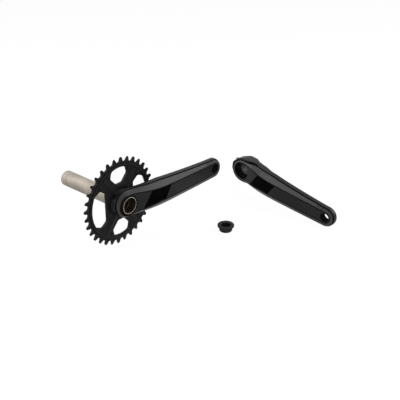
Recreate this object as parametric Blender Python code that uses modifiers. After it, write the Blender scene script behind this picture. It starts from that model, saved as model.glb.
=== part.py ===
# A single-ring bicycle crankset, taken apart for fitting: the drive-side arm with its pressed-in
# spindle and riveted chainring, the loose left arm with its clamp, and the loose preload cap.
# Frame: the spindle lies along Y through the origin, which is the middle of the bottom bracket.
# +X is forward, the way the drive-side arm points, +Y is the rider's left and +Z is up.

import math

import bmesh
import bpy
from mathutils import Matrix, Vector

MM = 0.001

# Fit to the bicycle
CRANK_LENGTH = 175.0 * MM
CHAINLINE = 52.0 * MM
PEDAL_FACE_OFFSET = 86.0 * MM
BEARING_SHOULDER_OFFSET = 46.5 * MM
SPINDLE_END_OFFSET = 66.0 * MM

# Clearances
FIT_GAP = 0.3 * MM
CUT_OVERLAP = 1.0 * MM

# Crank arm: half heights of its section, and depths behind its outer face
HEAD_FACE_OFFSET = 73.5 * MM
FLARE_START = 4.0 * MM
FLARE_LENGTH = 15.5 * MM
WAIST_FROM_AXIS = 62.0 * MM
TAPER_POWER = 1.24
HEAD_FACE_HALF = 16.0 * MM
WAIST_FACE_HALF = 11.6 * MM
TIP_FACE_HALF = 9.8 * MM
HEAD_SHOULDER_HALF = 21.2 * MM
WAIST_SHOULDER_HALF = 20.4 * MM
TIP_SHOULDER_HALF = 15.6 * MM
SIDE_BULGE = 0.4 * MM
BACK_TAPER = 3.0 * MM
HEAD_SHOULDER_DEPTH = 8.9 * MM
WAIST_SHOULDER_DEPTH = 9.0 * MM
TIP_SHOULDER_DEPTH = 2.6 * MM
HEAD_DEPTH = 15.5 * MM
WAIST_DEPTH = 20.5 * MM
TIP_DEPTH = 13.2 * MM
BACK_EDGE = 2.3 * MM
POCKET_START = 84.0 * MM
POCKET_END = 150.0 * MM
POCKET_HALF_HEIGHT = 7.0 * MM
POCKET_DEPTH = 5.0 * MM
PEDAL_HOLE_RADIUS = 7.15 * MM

# Spindle
SPINDLE_RADIUS = 12.0 * MM
SPINDLE_WALL = 1.6 * MM
PRESS_STEP = 1.4 * MM
PRESS_LENGTH = 13.0 * MM
PRESS_WALL = 1.8 * MM
SPINDLE_PROUD = 0.5 * MM
SPINDLE_CHAMFER = 1.0 * MM
SPLINE_COUNT = 24
SPLINE_LENGTH = 12.0 * MM
SPLINE_DEPTH = 0.7 * MM
# recess of the right arm's face round the spindle's ring, moved back from the axis
RING_RECESS_RADIUS = 16.2 * MM
RING_RECESS_SHIFT = 2.2 * MM
RING_RECESS_DEPTH = 2.2 * MM

# Drive-side boss and lockring
BOSS_WALL = 2.3 * MM
SPIDER_SPLINE_RISE = 2.6 * MM
SPIDER_SPLINE_DEPTH = 1.4 * MM
SPIDER_SPLINE_COUNT = 8
COLLAR_RISE = 2.6 * MM
COLLAR_LOBES = 4
COLLAR_NOTCH_WIDTH = 7.0 * MM
COLLAR_NOTCH_DEPTH = 1.8 * MM
LOCKRING_WIDTH = 5.6 * MM
LOCKRING_THICKNESS = 2.6 * MM
LOCKRING_NOTCHES = 12
LOCKRING_NOTCH_RADIUS = 1.6 * MM

# Chainring
TEETH = 32
CHAIN_PITCH = 12.7 * MM
ROLLER_RADIUS = 3.85 * MM
TOOTH_HEIGHT = 3.4 * MM
TOOTH_PLATE_THICKNESS = 3.4 * MM
WIDE_TOOTH_TIP = 2.4 * MM
NARROW_TOOTH_TIP = 1.2 * MM
ROOT_LAND = 0.4 * MM
CARRIER_THICKNESS = 4.4 * MM
RIM_WIDTH = 4.4 * MM
RIM_TO_ROOT = 2.4 * MM
LAP_WIDTH = 8.0 * MM
HUB_WALL = 10.0 * MM
ARM_ANGLE = math.radians(55.5)
RIVET_HALF_ANGLE = math.radians(11.5)
RIVET_INSET = 4.0 * MM
RIVET_RADIUS = 1.7 * MM
RIVET_HEAD_RIM = 1.0 * MM
RIVET_HEAD_HEIGHT = 0.7 * MM
RIB_HALF_WIDTH = 6.5 * MM
RIB_TIP_HALF_WIDTH = 3.6 * MM
RIB_HEIGHT = 2.4 * MM

# Windows between the chainring's arms: half angles at the rim, the waist and the foot
SHORT_WINDOW_RIM_ANGLE = math.radians(15.0)
SHORT_WINDOW_WAIST_ANGLE = math.radians(22.0)
SHORT_WINDOW_FOOT_ANGLE = math.radians(11.5)
SHORT_WINDOW_WAIST = 10.0 * MM
SHORT_WINDOW_FOOT = 2.5 * MM
LONG_WINDOW_RIM_ANGLE = math.radians(26.5)
LONG_WINDOW_WAIST_ANGLE = math.radians(38.5)
LONG_WINDOW_FOOT_ANGLE = math.radians(39.2)
LONG_WINDOW_WAIST = 6.7 * MM
LONG_WINDOW_FOOT = 7.5 * MM
WINDOW_FILLET = 5.0 * MM
WINDOW_RIM_FILLET = 8.0 * MM
WINDOW_RIM_CORNER = 12.4 * MM

# Left arm's clamp
CLAMP_WALL = 5.0 * MM
CAP_SEAT_DEPTH = 4.6 * MM
CAP_SEAT_RIM = 1.5 * MM
LUG_REACH = 23.0 * MM
LUG_HALF_HEIGHT = 10.5 * MM
LUG_FROM_FACE = 4.0 * MM
LUG_ROUNDING = 4.0 * MM
SLIT_WIDTH = 2.4 * MM
BOLT_WALL = 2.0 * MM
BOLT_RADIUS = 2.5 * MM
BOLT_SPACING = 10.5 * MM
BOLT_END_MARGIN = 6.0 * MM
BOLT_HEAD_RIM = 1.75 * MM
BOLT_HEAD_HEIGHT = 4.5 * MM
BOLT_SEAT_HEIGHT = 6.5 * MM
BOLT_END_INSET = 1.0 * MM
BOLT_SOCKET_RADIUS = 2.4 * MM
BOLT_SOCKET_DEPTH = 3.0 * MM
WASHER_RIM = 0.4 * MM
WASHER_THICKNESS = 1.0 * MM
STOPPER_THICKNESS = 1.6 * MM
STOPPER_EYE_WALL = 1.5 * MM
STOPPER_STRIP_WIDTH = 3.0 * MM
STOPPER_NIB_WIDTH = 2.2 * MM
STOPPER_NIB_REACH = 1.6 * MM

# Preload cap
CAP_FLANGE_RADIUS = 12.9 * MM
CAP_FLANGE_THICKNESS = 2.6 * MM
CAP_EDGE_ROUNDING = 0.65 * MM
CAP_CONE_HEIGHT = 2.1 * MM
CAP_BODY_LENGTH = 5.2 * MM
CAP_SOCKET_RADIUS = 8.1 * MM
CAP_SOCKET_LOBE = 1.2 * MM
CAP_SOCKET_LOBES = 8
CAP_SOCKET_DEPTH = 6.5 * MM

# Where the loose pieces lie: the left arm's axis, its turn and its lean onto its tip, and the cap
LEFT_ARM_AHEAD = 248.6 * MM
LEFT_ARM_ASIDE = -82.1 * MM
LEFT_ARM_TURN = math.radians(-90.0)
LEFT_ARM_LEAN = math.radians(7.1)
CAP_AHEAD = 128.8 * MM
CAP_ASIDE = -148.0 * MM

# Facets
ROUND_SEGMENTS = 36
RING_SEGMENTS = 64
BOLT_SEGMENTS = 24
HOLE_SEGMENTS = 28
RIVET_SEGMENTS = 10
NOTCH_SEGMENTS = 8
HEX_SIDES = 6
FILLET_SEGMENTS = 4
ARC_SEGMENTS = 9
WINDOW_RIM_SEGMENTS = 5
HEAD_SEGMENTS = 9
ARM_STATIONS = 14
STATION_SPREAD = 1.5
TIP_SEGMENTS = 7
SHARP_ANGLE = math.radians(30.0)

LAID_ALONG_Y = (-math.pi / 2, 0.0, 0.0)

PAINTED_ALUMINIUM = ((0.045, 0.045, 0.048), 0.42, 0.6)
PLATED_STEEL = ((0.58, 0.53, 0.48), 0.28, 1.0)
ANODISED_ALUMINIUM = ((0.02, 0.02, 0.022), 0.45, 0.7)
BLACK_STEEL = ((0.012, 0.012, 0.013), 0.4, 0.8)
ZINC_STEEL = ((0.5, 0.5, 0.48), 0.3, 1.0)
BLACK_PLASTIC = ((0.03, 0.03, 0.03), 0.5, 0.0)


def clear_scene():
    for item in list(bpy.data.objects):
        bpy.data.objects.remove(item, do_unlink=True)


def new_collection(name):
    collection = bpy.data.collections.new(name)
    bpy.context.scene.collection.children.link(collection)
    return collection


def give_finish(item, finish):
    colour, roughness, metallic = finish
    material = bpy.data.materials.new(item.name + "_finish")
    material.use_nodes = True
    shader = material.node_tree.nodes["Principled BSDF"]
    shader.inputs["Base Color"].default_value = (*colour, 1.0)
    shader.inputs["Roughness"].default_value = roughness
    shader.inputs["Metallic"].default_value = metallic
    item.data.materials.append(material)


def mesh_object(name, bm, collection):
    bmesh.ops.recalc_face_normals(bm, faces=bm.faces)
    mesh = bpy.data.meshes.new(name)
    bm.to_mesh(mesh)
    bm.free()
    mesh.shade_smooth()
    mesh.set_sharp_from_angle(angle=SHARP_ANGLE)
    item = bpy.data.objects.new(name, mesh)
    collection.objects.link(item)
    return item


def hide_cutter(item):
    item.hide_render = True
    item.display_type = "WIRE"
    return item


def combine(target, tool, operation="DIFFERENCE"):
    boolean = target.modifiers.new(tool.name, "BOOLEAN")
    boolean.operation = operation
    boolean.solver = "EXACT"
    boolean.object = tool


def place(item, parent=None, location=(0.0, 0.0, 0.0), rotation=(0.0, 0.0, 0.0)):
    item.parent = parent
    item.location = location
    item.rotation_euler = rotation
    return item


# A shape turned about Z. Profile points are (radius, height).
def turned(name, profile, collection, closed, segments=ROUND_SEGMENTS):
    bm = bmesh.new()
    verts = [bm.verts.new((radius, 0.0, height)) for radius, height in profile]
    for first, second in zip(verts, verts[1:]):
        bm.edges.new((first, second))
    if closed:
        bm.edges.new((verts[-1], verts[0]))
    mesh = bpy.data.meshes.new(name)
    bm.to_mesh(mesh)
    bm.free()
    item = bpy.data.objects.new(name, mesh)
    collection.objects.link(item)
    screw = item.modifiers.new("turn", "SCREW")
    screw.angle = math.tau
    screw.steps = segments
    screw.render_steps = segments
    screw.use_merge_vertices = True
    screw.merge_threshold = 0.00001
    return item


# A flat outline of (across, up) points, given thickness along Y between two places.
def plate(name, outline, y_from, y_to, collection):
    bm = bmesh.new()
    face = bm.faces.new([bm.verts.new((across, y_from, up)) for across, up in outline])
    extruded = bmesh.ops.extrude_face_region(bm, geom=[face])
    moved = [element for element in extruded["geom"] if isinstance(element, bmesh.types.BMVert)]
    bmesh.ops.translate(bm, verts=moved, vec=(0.0, y_to - y_from, 0.0))
    return mesh_object(name, bm, collection)


# Skins loops of equal length, one after another. The ends are either joined to each other,
# or closed by strips between the two halves of the loop.
def loft(name, loops, collection, ring):
    bm = bmesh.new()
    rows = [[bm.verts.new(point) for point in loop] for loop in loops]
    count = len(rows[0])
    pairs = list(zip(rows, rows[1:]))
    if ring:
        pairs.append((rows[-1], rows[0]))
    for first, second in pairs:
        for i in range(count):
            j = (i + 1) % count
            bm.faces.new((first[i], first[j], second[j], second[i]))
    if not ring:
        for row in (rows[0], rows[-1]):
            for i in range(count // 2):
                strip = (row[i], row[i + 1], row[-i - 1], row[-i])
                bm.faces.new(list(dict.fromkeys(strip)))
    return mesh_object(name, bm, collection)


def box_tool(name, corner_low, corner_high, rounding=0.0):
    bm = bmesh.new()
    low, high = Vector(corner_low), Vector(corner_high)
    size = Matrix.Diagonal(high - low).to_4x4()
    bmesh.ops.create_cube(bm, size=1.0, matrix=Matrix.Translation((low + high) / 2) @ size)
    if rounding:
        along_y = [edge for edge in bm.edges
                   if abs(edge.verts[0].co.y - edge.verts[1].co.y) > (high - low).y / 2]
        bmesh.ops.bevel(bm, geom=along_y, offset=rounding, segments=FILLET_SEGMENTS, profile=0.5,
                        affect="EDGES", material=-1)
    return hide_cutter(mesh_object(name, bm, cutters))


# Blocks set round the Y axis like spokes.
def spoke_tool(name, count, radius_in, radius_out, width, y_from, y_to, offset=0.0):
    bm = bmesh.new()
    size = Vector((radius_out - radius_in, y_to - y_from, width))
    middle = Vector(((radius_in + radius_out) / 2, (y_from + y_to) / 2, 0.0))
    block = Matrix.Translation(middle) @ Matrix.Diagonal(size).to_4x4()
    for i in range(count):
        turn = Matrix.Rotation(offset + math.tau * i / count, 4, "Y")
        bmesh.ops.create_cube(bm, size=1.0, matrix=turn @ block)
    return hide_cutter(mesh_object(name, bm, cutters))


# Round bars along Y at (across, up) places.
def bar_tool(name, spots, radius, y_from, y_to, segments):
    bm = bmesh.new()
    lay = Matrix.Rotation(math.pi / 2, 4, "X")
    for across, up in spots:
        middle = Matrix.Translation((across, (y_from + y_to) / 2, up))
        bmesh.ops.create_cone(bm, cap_ends=True, segments=segments, radius1=radius, radius2=radius,
                              depth=y_to - y_from, matrix=middle @ lay)
    return hide_cutter(mesh_object(name, bm, cutters))


def smooth_step(share):
    share = min(max(share, 0.0), 1.0)
    return share * share * (3.0 - 2.0 * share)


def polar(radius, angle):
    return Vector((radius * math.cos(angle), radius * math.sin(angle)))


def arc(middle, radius, start, end):
    turns = [start + (end - start) * i / ARC_SEGMENTS for i in range(ARC_SEGMENTS + 1)]
    return [tuple(Vector(middle) + polar(radius, turn)) for turn in turns]


# Rounds the corners of an outline. Each corner is (point, fillet radius).
def rounded_outline(corners):
    outline = []
    longest_share = 0.45
    for i, (point, radius) in enumerate(corners):
        if radius == 0.0:
            outline.append(tuple(point))
            continue
        before = corners[i - 1][0] - point
        after = corners[(i + 1) % len(corners)][0] - point
        half_angle = before.angle(after) / 2
        room = longest_share * min(before.length, after.length)
        reach = min(radius / math.tan(half_angle), room)
        start = point + before.normalized() * reach
        end = point + after.normalized() * reach
        for step in range(FILLET_SEGMENTS + 1):
            share = step / FILLET_SEGMENTS
            first = start.lerp(point, share)
            second = point.lerp(end, share)
            outline.append(tuple(first.lerp(second, share)))
    return outline


# A round outline with flat-topped splines standing out of it.
def splined_outline(radius, depth, count, points_per_spline=4):
    outline = []
    for i in range(count * points_per_spline):
        turn = math.tau * (i + 0.5) / (count * points_per_spline)
        raised = i % points_per_spline < points_per_spline // 2
        outline.append(tuple(polar(radius if raised else radius - depth, turn)))
    return outline


def round_outline(radius, segments=ROUND_SEGMENTS):
    return [tuple(polar(radius, math.tau * i / segments)) for i in range(segments)]


clear_scene()
parts = new_collection("bicycle_crankset")
cutters = new_collection("cutters")

# Chainring sizes, which also give the floor that everything stands on
pitch_radius = CHAIN_PITCH / (2 * math.sin(math.pi / TEETH))
root_radius = pitch_radius - ROLLER_RADIUS
tip_radius = pitch_radius + TOOTH_HEIGHT
floor = -tip_radius

# Each arm's own frame: X along the arm from the spindle's axis, Y inboard from the head's
# outer face, Z up. The left arm leans forward until its tip meets the floor.
drive_frame = bpy.data.objects.new("drive_side_frame", None)
left_frame = bpy.data.objects.new("left_arm_frame", None)
for frame in (drive_frame, left_frame):
    parts.objects.link(frame)
drive_frame.location = (0.0, -HEAD_FACE_OFFSET, 0.0)
left_rise = CRANK_LENGTH * math.sin(LEFT_ARM_LEAN) + TIP_SHOULDER_HALF + SIDE_BULGE
left_frame.location = (LEFT_ARM_AHEAD, LEFT_ARM_ASIDE, floor + left_rise)
left_frame.rotation_euler = (0.0, LEFT_ARM_LEAN, LEFT_ARM_TURN)

flare = PEDAL_FACE_OFFSET - HEAD_FACE_OFFSET
boss_length = HEAD_FACE_OFFSET - BEARING_SHOULDER_OFFSET
bore_radius = SPINDLE_RADIUS + FIT_GAP
spindle_bore_radius = SPINDLE_RADIUS - SPINDLE_WALL
press_radius = SPINDLE_RADIUS + PRESS_STEP

shoulder_halves = (HEAD_SHOULDER_HALF, WAIST_SHOULDER_HALF, TIP_SHOULDER_HALF)
arm_depths = (HEAD_DEPTH, WAIST_DEPTH, TIP_DEPTH)


# Values given at the head, the waist and the tip are blended in between.
def along_arm(x, values):
    head, waist, tip = values
    if x < WAIST_FROM_AXIS:
        return head + (waist - head) * smooth_step(x / WAIST_FROM_AXIS)
    left = max(CRANK_LENGTH - x, 0.0) / (CRANK_LENGTH - WAIST_FROM_AXIS)
    return tip + (waist - tip) * left ** TAPER_POWER


def face_place(x):
    run = max(x - FLARE_START, 0.0) / FLARE_LENGTH
    return -flare * (1.0 - (1.0 + run) * math.exp(-run))


def arm_loop(half_heights, depths):
    half = []
    for i in range(HEAD_SEGMENTS):
        half.append(polar(half_heights[0], math.pi * (1.0 - i / (2 * HEAD_SEGMENTS))))
    for i in range(ARM_STATIONS + 1):
        x = CRANK_LENGTH * (i / ARM_STATIONS) ** STATION_SPREAD
        half.append(Vector((x, along_arm(x, half_heights))))
    for i in range(1, TIP_SEGMENTS + 1):
        turn = math.pi / 2 * (1 - i / TIP_SEGMENTS)
        half.append(Vector((CRANK_LENGTH, 0.0)) + polar(half_heights[2], turn))
    outline = half + [Vector((x, -up)) for x, up in reversed(half[1:-1])]
    return [(x, face_place(x) + along_arm(x, depths), up) for x, up in outline]


def crank_arm(name, parent):
    side_halves = [half + SIDE_BULGE for half in shoulder_halves]
    levels = (
        ((HEAD_FACE_HALF, WAIST_FACE_HALF, TIP_FACE_HALF), (0.0, 0.0, 0.0)),
        (shoulder_halves, (HEAD_SHOULDER_DEPTH, WAIST_SHOULDER_DEPTH, TIP_SHOULDER_DEPTH)),
        (side_halves, [depth - BACK_EDGE for depth in arm_depths]),
        ([half - BACK_TAPER for half in side_halves], arm_depths),
    )
    loops = [arm_loop(half_heights, depths) for half_heights, depths in levels]
    arm = place(loft(name, loops, parts, ring=False), parent)
    give_finish(arm, PAINTED_ALUMINIUM)
    return arm


def cut_pedal_end(arm, side, parent):
    hole = plate(side + "_pedal_hole_cutter", round_outline(PEDAL_HOLE_RADIUS, HOLE_SEGMENTS),
                 -flare - CUT_OVERLAP, TIP_DEPTH - flare + CUT_OVERLAP, cutters)
    place(hide_cutter(hole), parent, (CRANK_LENGTH, 0.0, 0.0))
    combine(arm, hole)
    outline = arc((POCKET_END - POCKET_HALF_HEIGHT, 0.0), POCKET_HALF_HEIGHT, -math.pi / 2, math.pi / 2)
    outline += arc((POCKET_START + POCKET_HALF_HEIGHT, 0.0), POCKET_HALF_HEIGHT, math.pi / 2, 1.5 * math.pi)
    pocket = plate(side + "_pocket_cutter", outline, TIP_DEPTH - flare - POCKET_DEPTH,
                   WAIST_DEPTH - flare + CUT_OVERLAP, cutters)
    combine(arm, place(hide_cutter(pocket), parent))


# Drive side
ring_place = HEAD_FACE_OFFSET - CHAINLINE
carrier_front = ring_place - CARRIER_THICKNESS / 2
carrier_back = ring_place + CARRIER_THICKNESS / 2
collar_end = carrier_front - FIT_GAP
spline_end = carrier_back - FIT_GAP
thread_radius = bore_radius + BOSS_WALL
spider_spline_radius = thread_radius + SPIDER_SPLINE_RISE
collar_radius = spider_spline_radius + COLLAR_RISE


def build_right_arm():
    arm = crank_arm("right_crank_arm", drive_frame)
    collar = plate("collar_tool", round_outline(collar_radius), HEAD_DEPTH / 2, collar_end, cutters)
    notches = spoke_tool("collar_notches", COLLAR_LOBES, collar_radius - COLLAR_NOTCH_DEPTH,
                         collar_radius + CUT_OVERLAP, COLLAR_NOTCH_WIDTH,
                         HEAD_DEPTH, collar_end + CUT_OVERLAP, math.pi / COLLAR_LOBES)
    spline = plate("spider_spline_tool",
                   splined_outline(spider_spline_radius, SPIDER_SPLINE_DEPTH, SPIDER_SPLINE_COUNT),
                   collar_end - CUT_OVERLAP, spline_end, cutters)
    thread = plate("thread_tool", round_outline(thread_radius), spline_end - CUT_OVERLAP,
                   boss_length, cutters)
    step = PRESS_LENGTH + FIT_GAP
    wide = press_radius + FIT_GAP
    bore = turned("drive_bore_cutter", [
        (0.0, boss_length + CUT_OVERLAP), (bore_radius, boss_length + CUT_OVERLAP), (bore_radius, step),
        (wide, step), (wide, -flare - CUT_OVERLAP), (0.0, -flare - CUT_OVERLAP),
    ], cutters, closed=False)
    recess = turned("ring_recess_cutter", [
        (0.0, RING_RECESS_DEPTH), (RING_RECESS_RADIUS, RING_RECESS_DEPTH),
        (RING_RECESS_RADIUS, -flare - CUT_OVERLAP), (0.0, -flare - CUT_OVERLAP),
    ], cutters, closed=False)
    for tool in (collar, spline, thread):
        combine(arm, place(hide_cutter(tool), drive_frame), "UNION")
    combine(arm, place(notches, drive_frame))
    combine(arm, place(hide_cutter(recess), drive_frame, (-RING_RECESS_SHIFT, 0.0, 0.0), LAID_ALONG_Y))
    combine(arm, place(hide_cutter(bore), drive_frame, rotation=LAID_ALONG_Y))
    cut_pedal_end(arm, "right", drive_frame)


def build_spindle():
    far_end = HEAD_FACE_OFFSET + SPINDLE_END_OFFSET
    wide_bore = press_radius - PRESS_WALL
    spindle = turned("spindle", [
        (SPINDLE_RADIUS - SPINDLE_CHAMFER, far_end), (SPINDLE_RADIUS, far_end - SPINDLE_CHAMFER),
        (SPINDLE_RADIUS, PRESS_LENGTH), (press_radius, PRESS_LENGTH), (press_radius, -SPINDLE_PROUD),
        (wide_bore, -SPINDLE_PROUD), (wide_bore, PRESS_LENGTH - PRESS_WALL),
        (spindle_bore_radius, PRESS_LENGTH), (spindle_bore_radius, far_end),
    ], parts, closed=True)
    place(spindle, drive_frame, rotation=LAID_ALONG_Y)
    groove_width = math.pi * SPINDLE_RADIUS / SPLINE_COUNT
    grooves = spoke_tool("spline_grooves", SPLINE_COUNT, SPINDLE_RADIUS - SPLINE_DEPTH,
                         SPINDLE_RADIUS + CUT_OVERLAP, groove_width,
                         far_end - SPLINE_LENGTH, far_end + CUT_OVERLAP)
    combine(spindle, place(grooves, drive_frame))
    give_finish(spindle, PLATED_STEEL)


# Chainring: a four-armed carrier with its rim, lapped onto the toothed ring and riveted to it
rim_outer = root_radius - RIM_TO_ROOT
rim_inner = rim_outer - RIM_WIDTH
lap_inner = rim_inner - LAP_WIDTH
hub_radius = spider_spline_radius + HUB_WALL
tooth_front = ring_place - TOOTH_PLATE_THICKNESS / 2
tooth_back = ring_place + TOOTH_PLATE_THICKNESS / 2
arm_angles = (ARM_ANGLE, math.pi - ARM_ANGLE, math.pi + ARM_ANGLE, -ARM_ANGLE)
rivet_spots = [polar(rim_inner - RIVET_INSET, angle + side * RIVET_HALF_ANGLE)
               for angle in arm_angles for side in (-1, 1)]


def window_outline(middle_angle, half_angles, waist_inset, foot_rise):
    rim_half, waist_half, foot_half = half_angles
    waist_radius = rim_inner - waist_inset
    foot_radius = hub_radius + foot_rise
    arc_half = rim_half - WINDOW_RIM_CORNER / rim_inner
    corners = [(polar(rim_inner, middle_angle - rim_half), WINDOW_RIM_FILLET)]
    for i in range(WINDOW_RIM_SEGMENTS + 1):
        angle = middle_angle + arc_half * (2 * i / WINDOW_RIM_SEGMENTS - 1)
        corners.append((polar(rim_inner, angle), 0.0))
    corners.append((polar(rim_inner, middle_angle + rim_half), WINDOW_RIM_FILLET))
    corners.append((polar(waist_radius, middle_angle + waist_half), WINDOW_FILLET))
    corners.append((polar(foot_radius, middle_angle + foot_half), WINDOW_FILLET))
    corners.append((polar(foot_radius, middle_angle - foot_half), WINDOW_FILLET))
    corners.append((polar(waist_radius, middle_angle - waist_half), WINDOW_FILLET))
    return rounded_outline(corners)


def build_windows():
    short = (SHORT_WINDOW_RIM_ANGLE, SHORT_WINDOW_WAIST_ANGLE, SHORT_WINDOW_FOOT_ANGLE)
    long = (LONG_WINDOW_RIM_ANGLE, LONG_WINDOW_WAIST_ANGLE, LONG_WINDOW_FOOT_ANGLE)
    kinds = ((math.pi / 2, short, SHORT_WINDOW_WAIST, SHORT_WINDOW_FOOT),
             (0.0, long, LONG_WINDOW_WAIST, LONG_WINDOW_FOOT))
    tools = []
    for middle, angles, waist, foot in kinds:
        for turn in (0.0, math.pi):
            outline = window_outline(middle + turn, angles, waist, foot)
            tool = plate("window_cutter", outline, carrier_front - RIB_HEIGHT - CUT_OVERLAP,
                         carrier_back + CUT_OVERLAP, cutters)
            tools.append(place(hide_cutter(tool), drive_frame))
    return tools


# Each rib is a roof along one of the carrier's arms, narrowing to the rim.
def build_ribs():
    bm = bmesh.new()
    rib_start = collar_radius + FIT_GAP
    length = rim_inner - rib_start
    for angle in arm_angles:
        out = Matrix.Rotation(math.pi / 2 - angle, 4, "Y")
        on_face = Matrix.Translation((0.0, carrier_front, 0.0)) @ out
        halfway = Matrix.Translation((0.0, 0.0, rib_start + length / 2))
        flat = Matrix.Diagonal((1.0, RIB_HEIGHT / RIB_HALF_WIDTH, 1.0, 1.0))
        bmesh.ops.create_cone(bm, cap_ends=True, segments=4, radius1=RIB_HALF_WIDTH,
                              radius2=RIB_TIP_HALF_WIDTH, depth=length, matrix=on_face @ halfway @ flat)
    return place(hide_cutter(mesh_object("rib_tool", bm, cutters)), drive_frame)


def build_chainring():
    windows = build_windows()
    holes = bar_tool("rivet_holes", rivet_spots, RIVET_RADIUS + FIT_GAP, carrier_front - CUT_OVERLAP,
                     tooth_back + CUT_OVERLAP, RIVET_SEGMENTS)
    place(holes, drive_frame)
    hub_bore = spider_spline_radius - 2 * SPIDER_SPLINE_DEPTH
    lap_place = ring_place - FIT_GAP / 2
    carrier = turned("chainring_carrier", [
        (lap_inner, carrier_back), (lap_inner, lap_place), (rim_outer, lap_place),
        (rim_outer, carrier_front), (hub_bore, carrier_front), (hub_bore, carrier_back),
    ], parts, closed=True, segments=RING_SEGMENTS)
    place(carrier, drive_frame, rotation=LAID_ALONG_Y)
    hub = plate("hub_spline_cutter",
                splined_outline(spider_spline_radius + FIT_GAP, SPIDER_SPLINE_DEPTH, SPIDER_SPLINE_COUNT),
                carrier_front - RIB_HEIGHT - CUT_OVERLAP, carrier_back + CUT_OVERLAP, cutters)
    combine(carrier, build_ribs(), "UNION")
    combine(carrier, place(hide_cutter(hub), drive_frame))
    teeth = place(tooth_ring(), drive_frame)
    for item in (carrier, teeth):
        for window in windows:
            combine(item, window)
        combine(item, holes)
    give_finish(carrier, ANODISED_ALUMINIUM)
    give_finish(teeth, BLACK_STEEL)


# One tooth is sampled from the middle of one roller seat to the next: shares of the pitch,
# measured from the tooth's middle. Every second tooth is wide, to fill the chain's outer plates.
def tooth_ring():
    shares = (-0.5, -0.34, -0.2, -0.11, 0.11, 0.2, 0.34)
    tip_share = 0.15
    tooth_angle = math.tau / TEETH
    angles, outline, half_thickness = [], [], []
    for tooth in range(TEETH):
        tip_thickness = WIDE_TOOTH_TIP if tooth % 2 == 0 else NARROW_TOOTH_TIP
        for share in shares:
            from_seat = (0.5 - abs(share)) * CHAIN_PITCH
            radius = pitch_radius - math.sqrt(max(ROLLER_RADIUS ** 2 - from_seat ** 2, 0.0))
            if abs(share) < tip_share:
                radius = tip_radius
            rise = (radius - root_radius) / (tip_radius - root_radius)
            angles.append((tooth + 0.5 + share) * tooth_angle)
            outline.append(radius)
            half_thickness.append(TOOTH_PLATE_THICKNESS / 2 * (1.0 - rise) + tip_thickness / 2 * rise)

    def loop(radii, places):
        points = zip(angles, radii, places)
        return [(radius * math.sin(angle), y, radius * math.cos(angle)) for angle, radius, y in points]

    count = len(angles)
    lap_front = ring_place + FIT_GAP / 2
    lap_radius = lap_inner + FIT_GAP
    step_radius = rim_outer + FIT_GAP
    land_radius = root_radius - ROOT_LAND
    flat_loops = ((lap_radius, tooth_back), (lap_radius, lap_front), (step_radius, lap_front),
                  (step_radius, tooth_front), (land_radius, tooth_front))
    loops = [loop([radius] * count, [y] * count) for radius, y in flat_loops]
    loops.append(loop(outline, [ring_place - half for half in half_thickness]))
    loops.append(loop(outline, [ring_place + half for half in half_thickness]))
    loops.append(loop([land_radius] * count, [tooth_back] * count))
    return loft("chainring_tooth_ring", loops, parts, ring=True)


def build_rivets():
    under_head = carrier_front - FIT_GAP
    under_tail = tooth_back + FIT_GAP
    head_front = under_head - RIVET_HEAD_HEIGHT
    tail_back = under_tail + RIVET_HEAD_HEIGHT
    head_radius = RIVET_RADIUS + RIVET_HEAD_RIM
    rounding = RIVET_HEAD_HEIGHT / 2
    profile = [
        (0.0, tail_back), (head_radius, tail_back), (head_radius, under_tail),
        (RIVET_RADIUS, under_tail), (RIVET_RADIUS, under_head), (head_radius, under_head),
        (head_radius, head_front + rounding), (head_radius - rounding, head_front), (0.0, head_front),
    ]
    for number, spot in enumerate(rivet_spots, start=1):
        rivet = turned(f"chainring_rivet_{number}", profile, parts, closed=False, segments=RIVET_SEGMENTS)
        place(rivet, drive_frame, (spot.x, 0.0, spot.y), LAID_ALONG_Y)
        give_finish(rivet, BLACK_STEEL)


def build_lockring():
    front = carrier_back + FIT_GAP
    back = front + LOCKRING_THICKNESS
    inner = thread_radius + FIT_GAP
    outer = inner + LOCKRING_WIDTH
    lockring = turned("chainring_lockring", [(outer, back), (outer, front), (inner, front), (inner, back)],
                      parts, closed=True)
    place(lockring, drive_frame, rotation=LAID_ALONG_Y)
    spots = [polar(outer, math.tau * i / LOCKRING_NOTCHES) for i in range(LOCKRING_NOTCHES)]
    notches = bar_tool("lockring_notches", spots, LOCKRING_NOTCH_RADIUS, front - CUT_OVERLAP,
                       back + CUT_OVERLAP, NOTCH_SEGMENTS)
    combine(lockring, place(notches, drive_frame))
    give_finish(lockring, ZINC_STEEL)


# Left arm, with the clamp's bolts along Z
cap_seat_radius = CAP_FLANGE_RADIUS + CAP_SEAT_RIM
bolt_hole_radius = BOLT_RADIUS + FIT_GAP
bolt_from_axis = bore_radius + BOLT_WALL + bolt_hole_radius
bolt_head_radius = BOLT_RADIUS + BOLT_HEAD_RIM
washer_radius = bolt_head_radius + WASHER_RIM
inner_bolt_place = boss_length - BOLT_END_MARGIN
outer_bolt_place = inner_bolt_place - BOLT_SPACING
bolt_sides = (("outer", outer_bolt_place, 1.0), ("inner", inner_bolt_place, -1.0))


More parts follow.
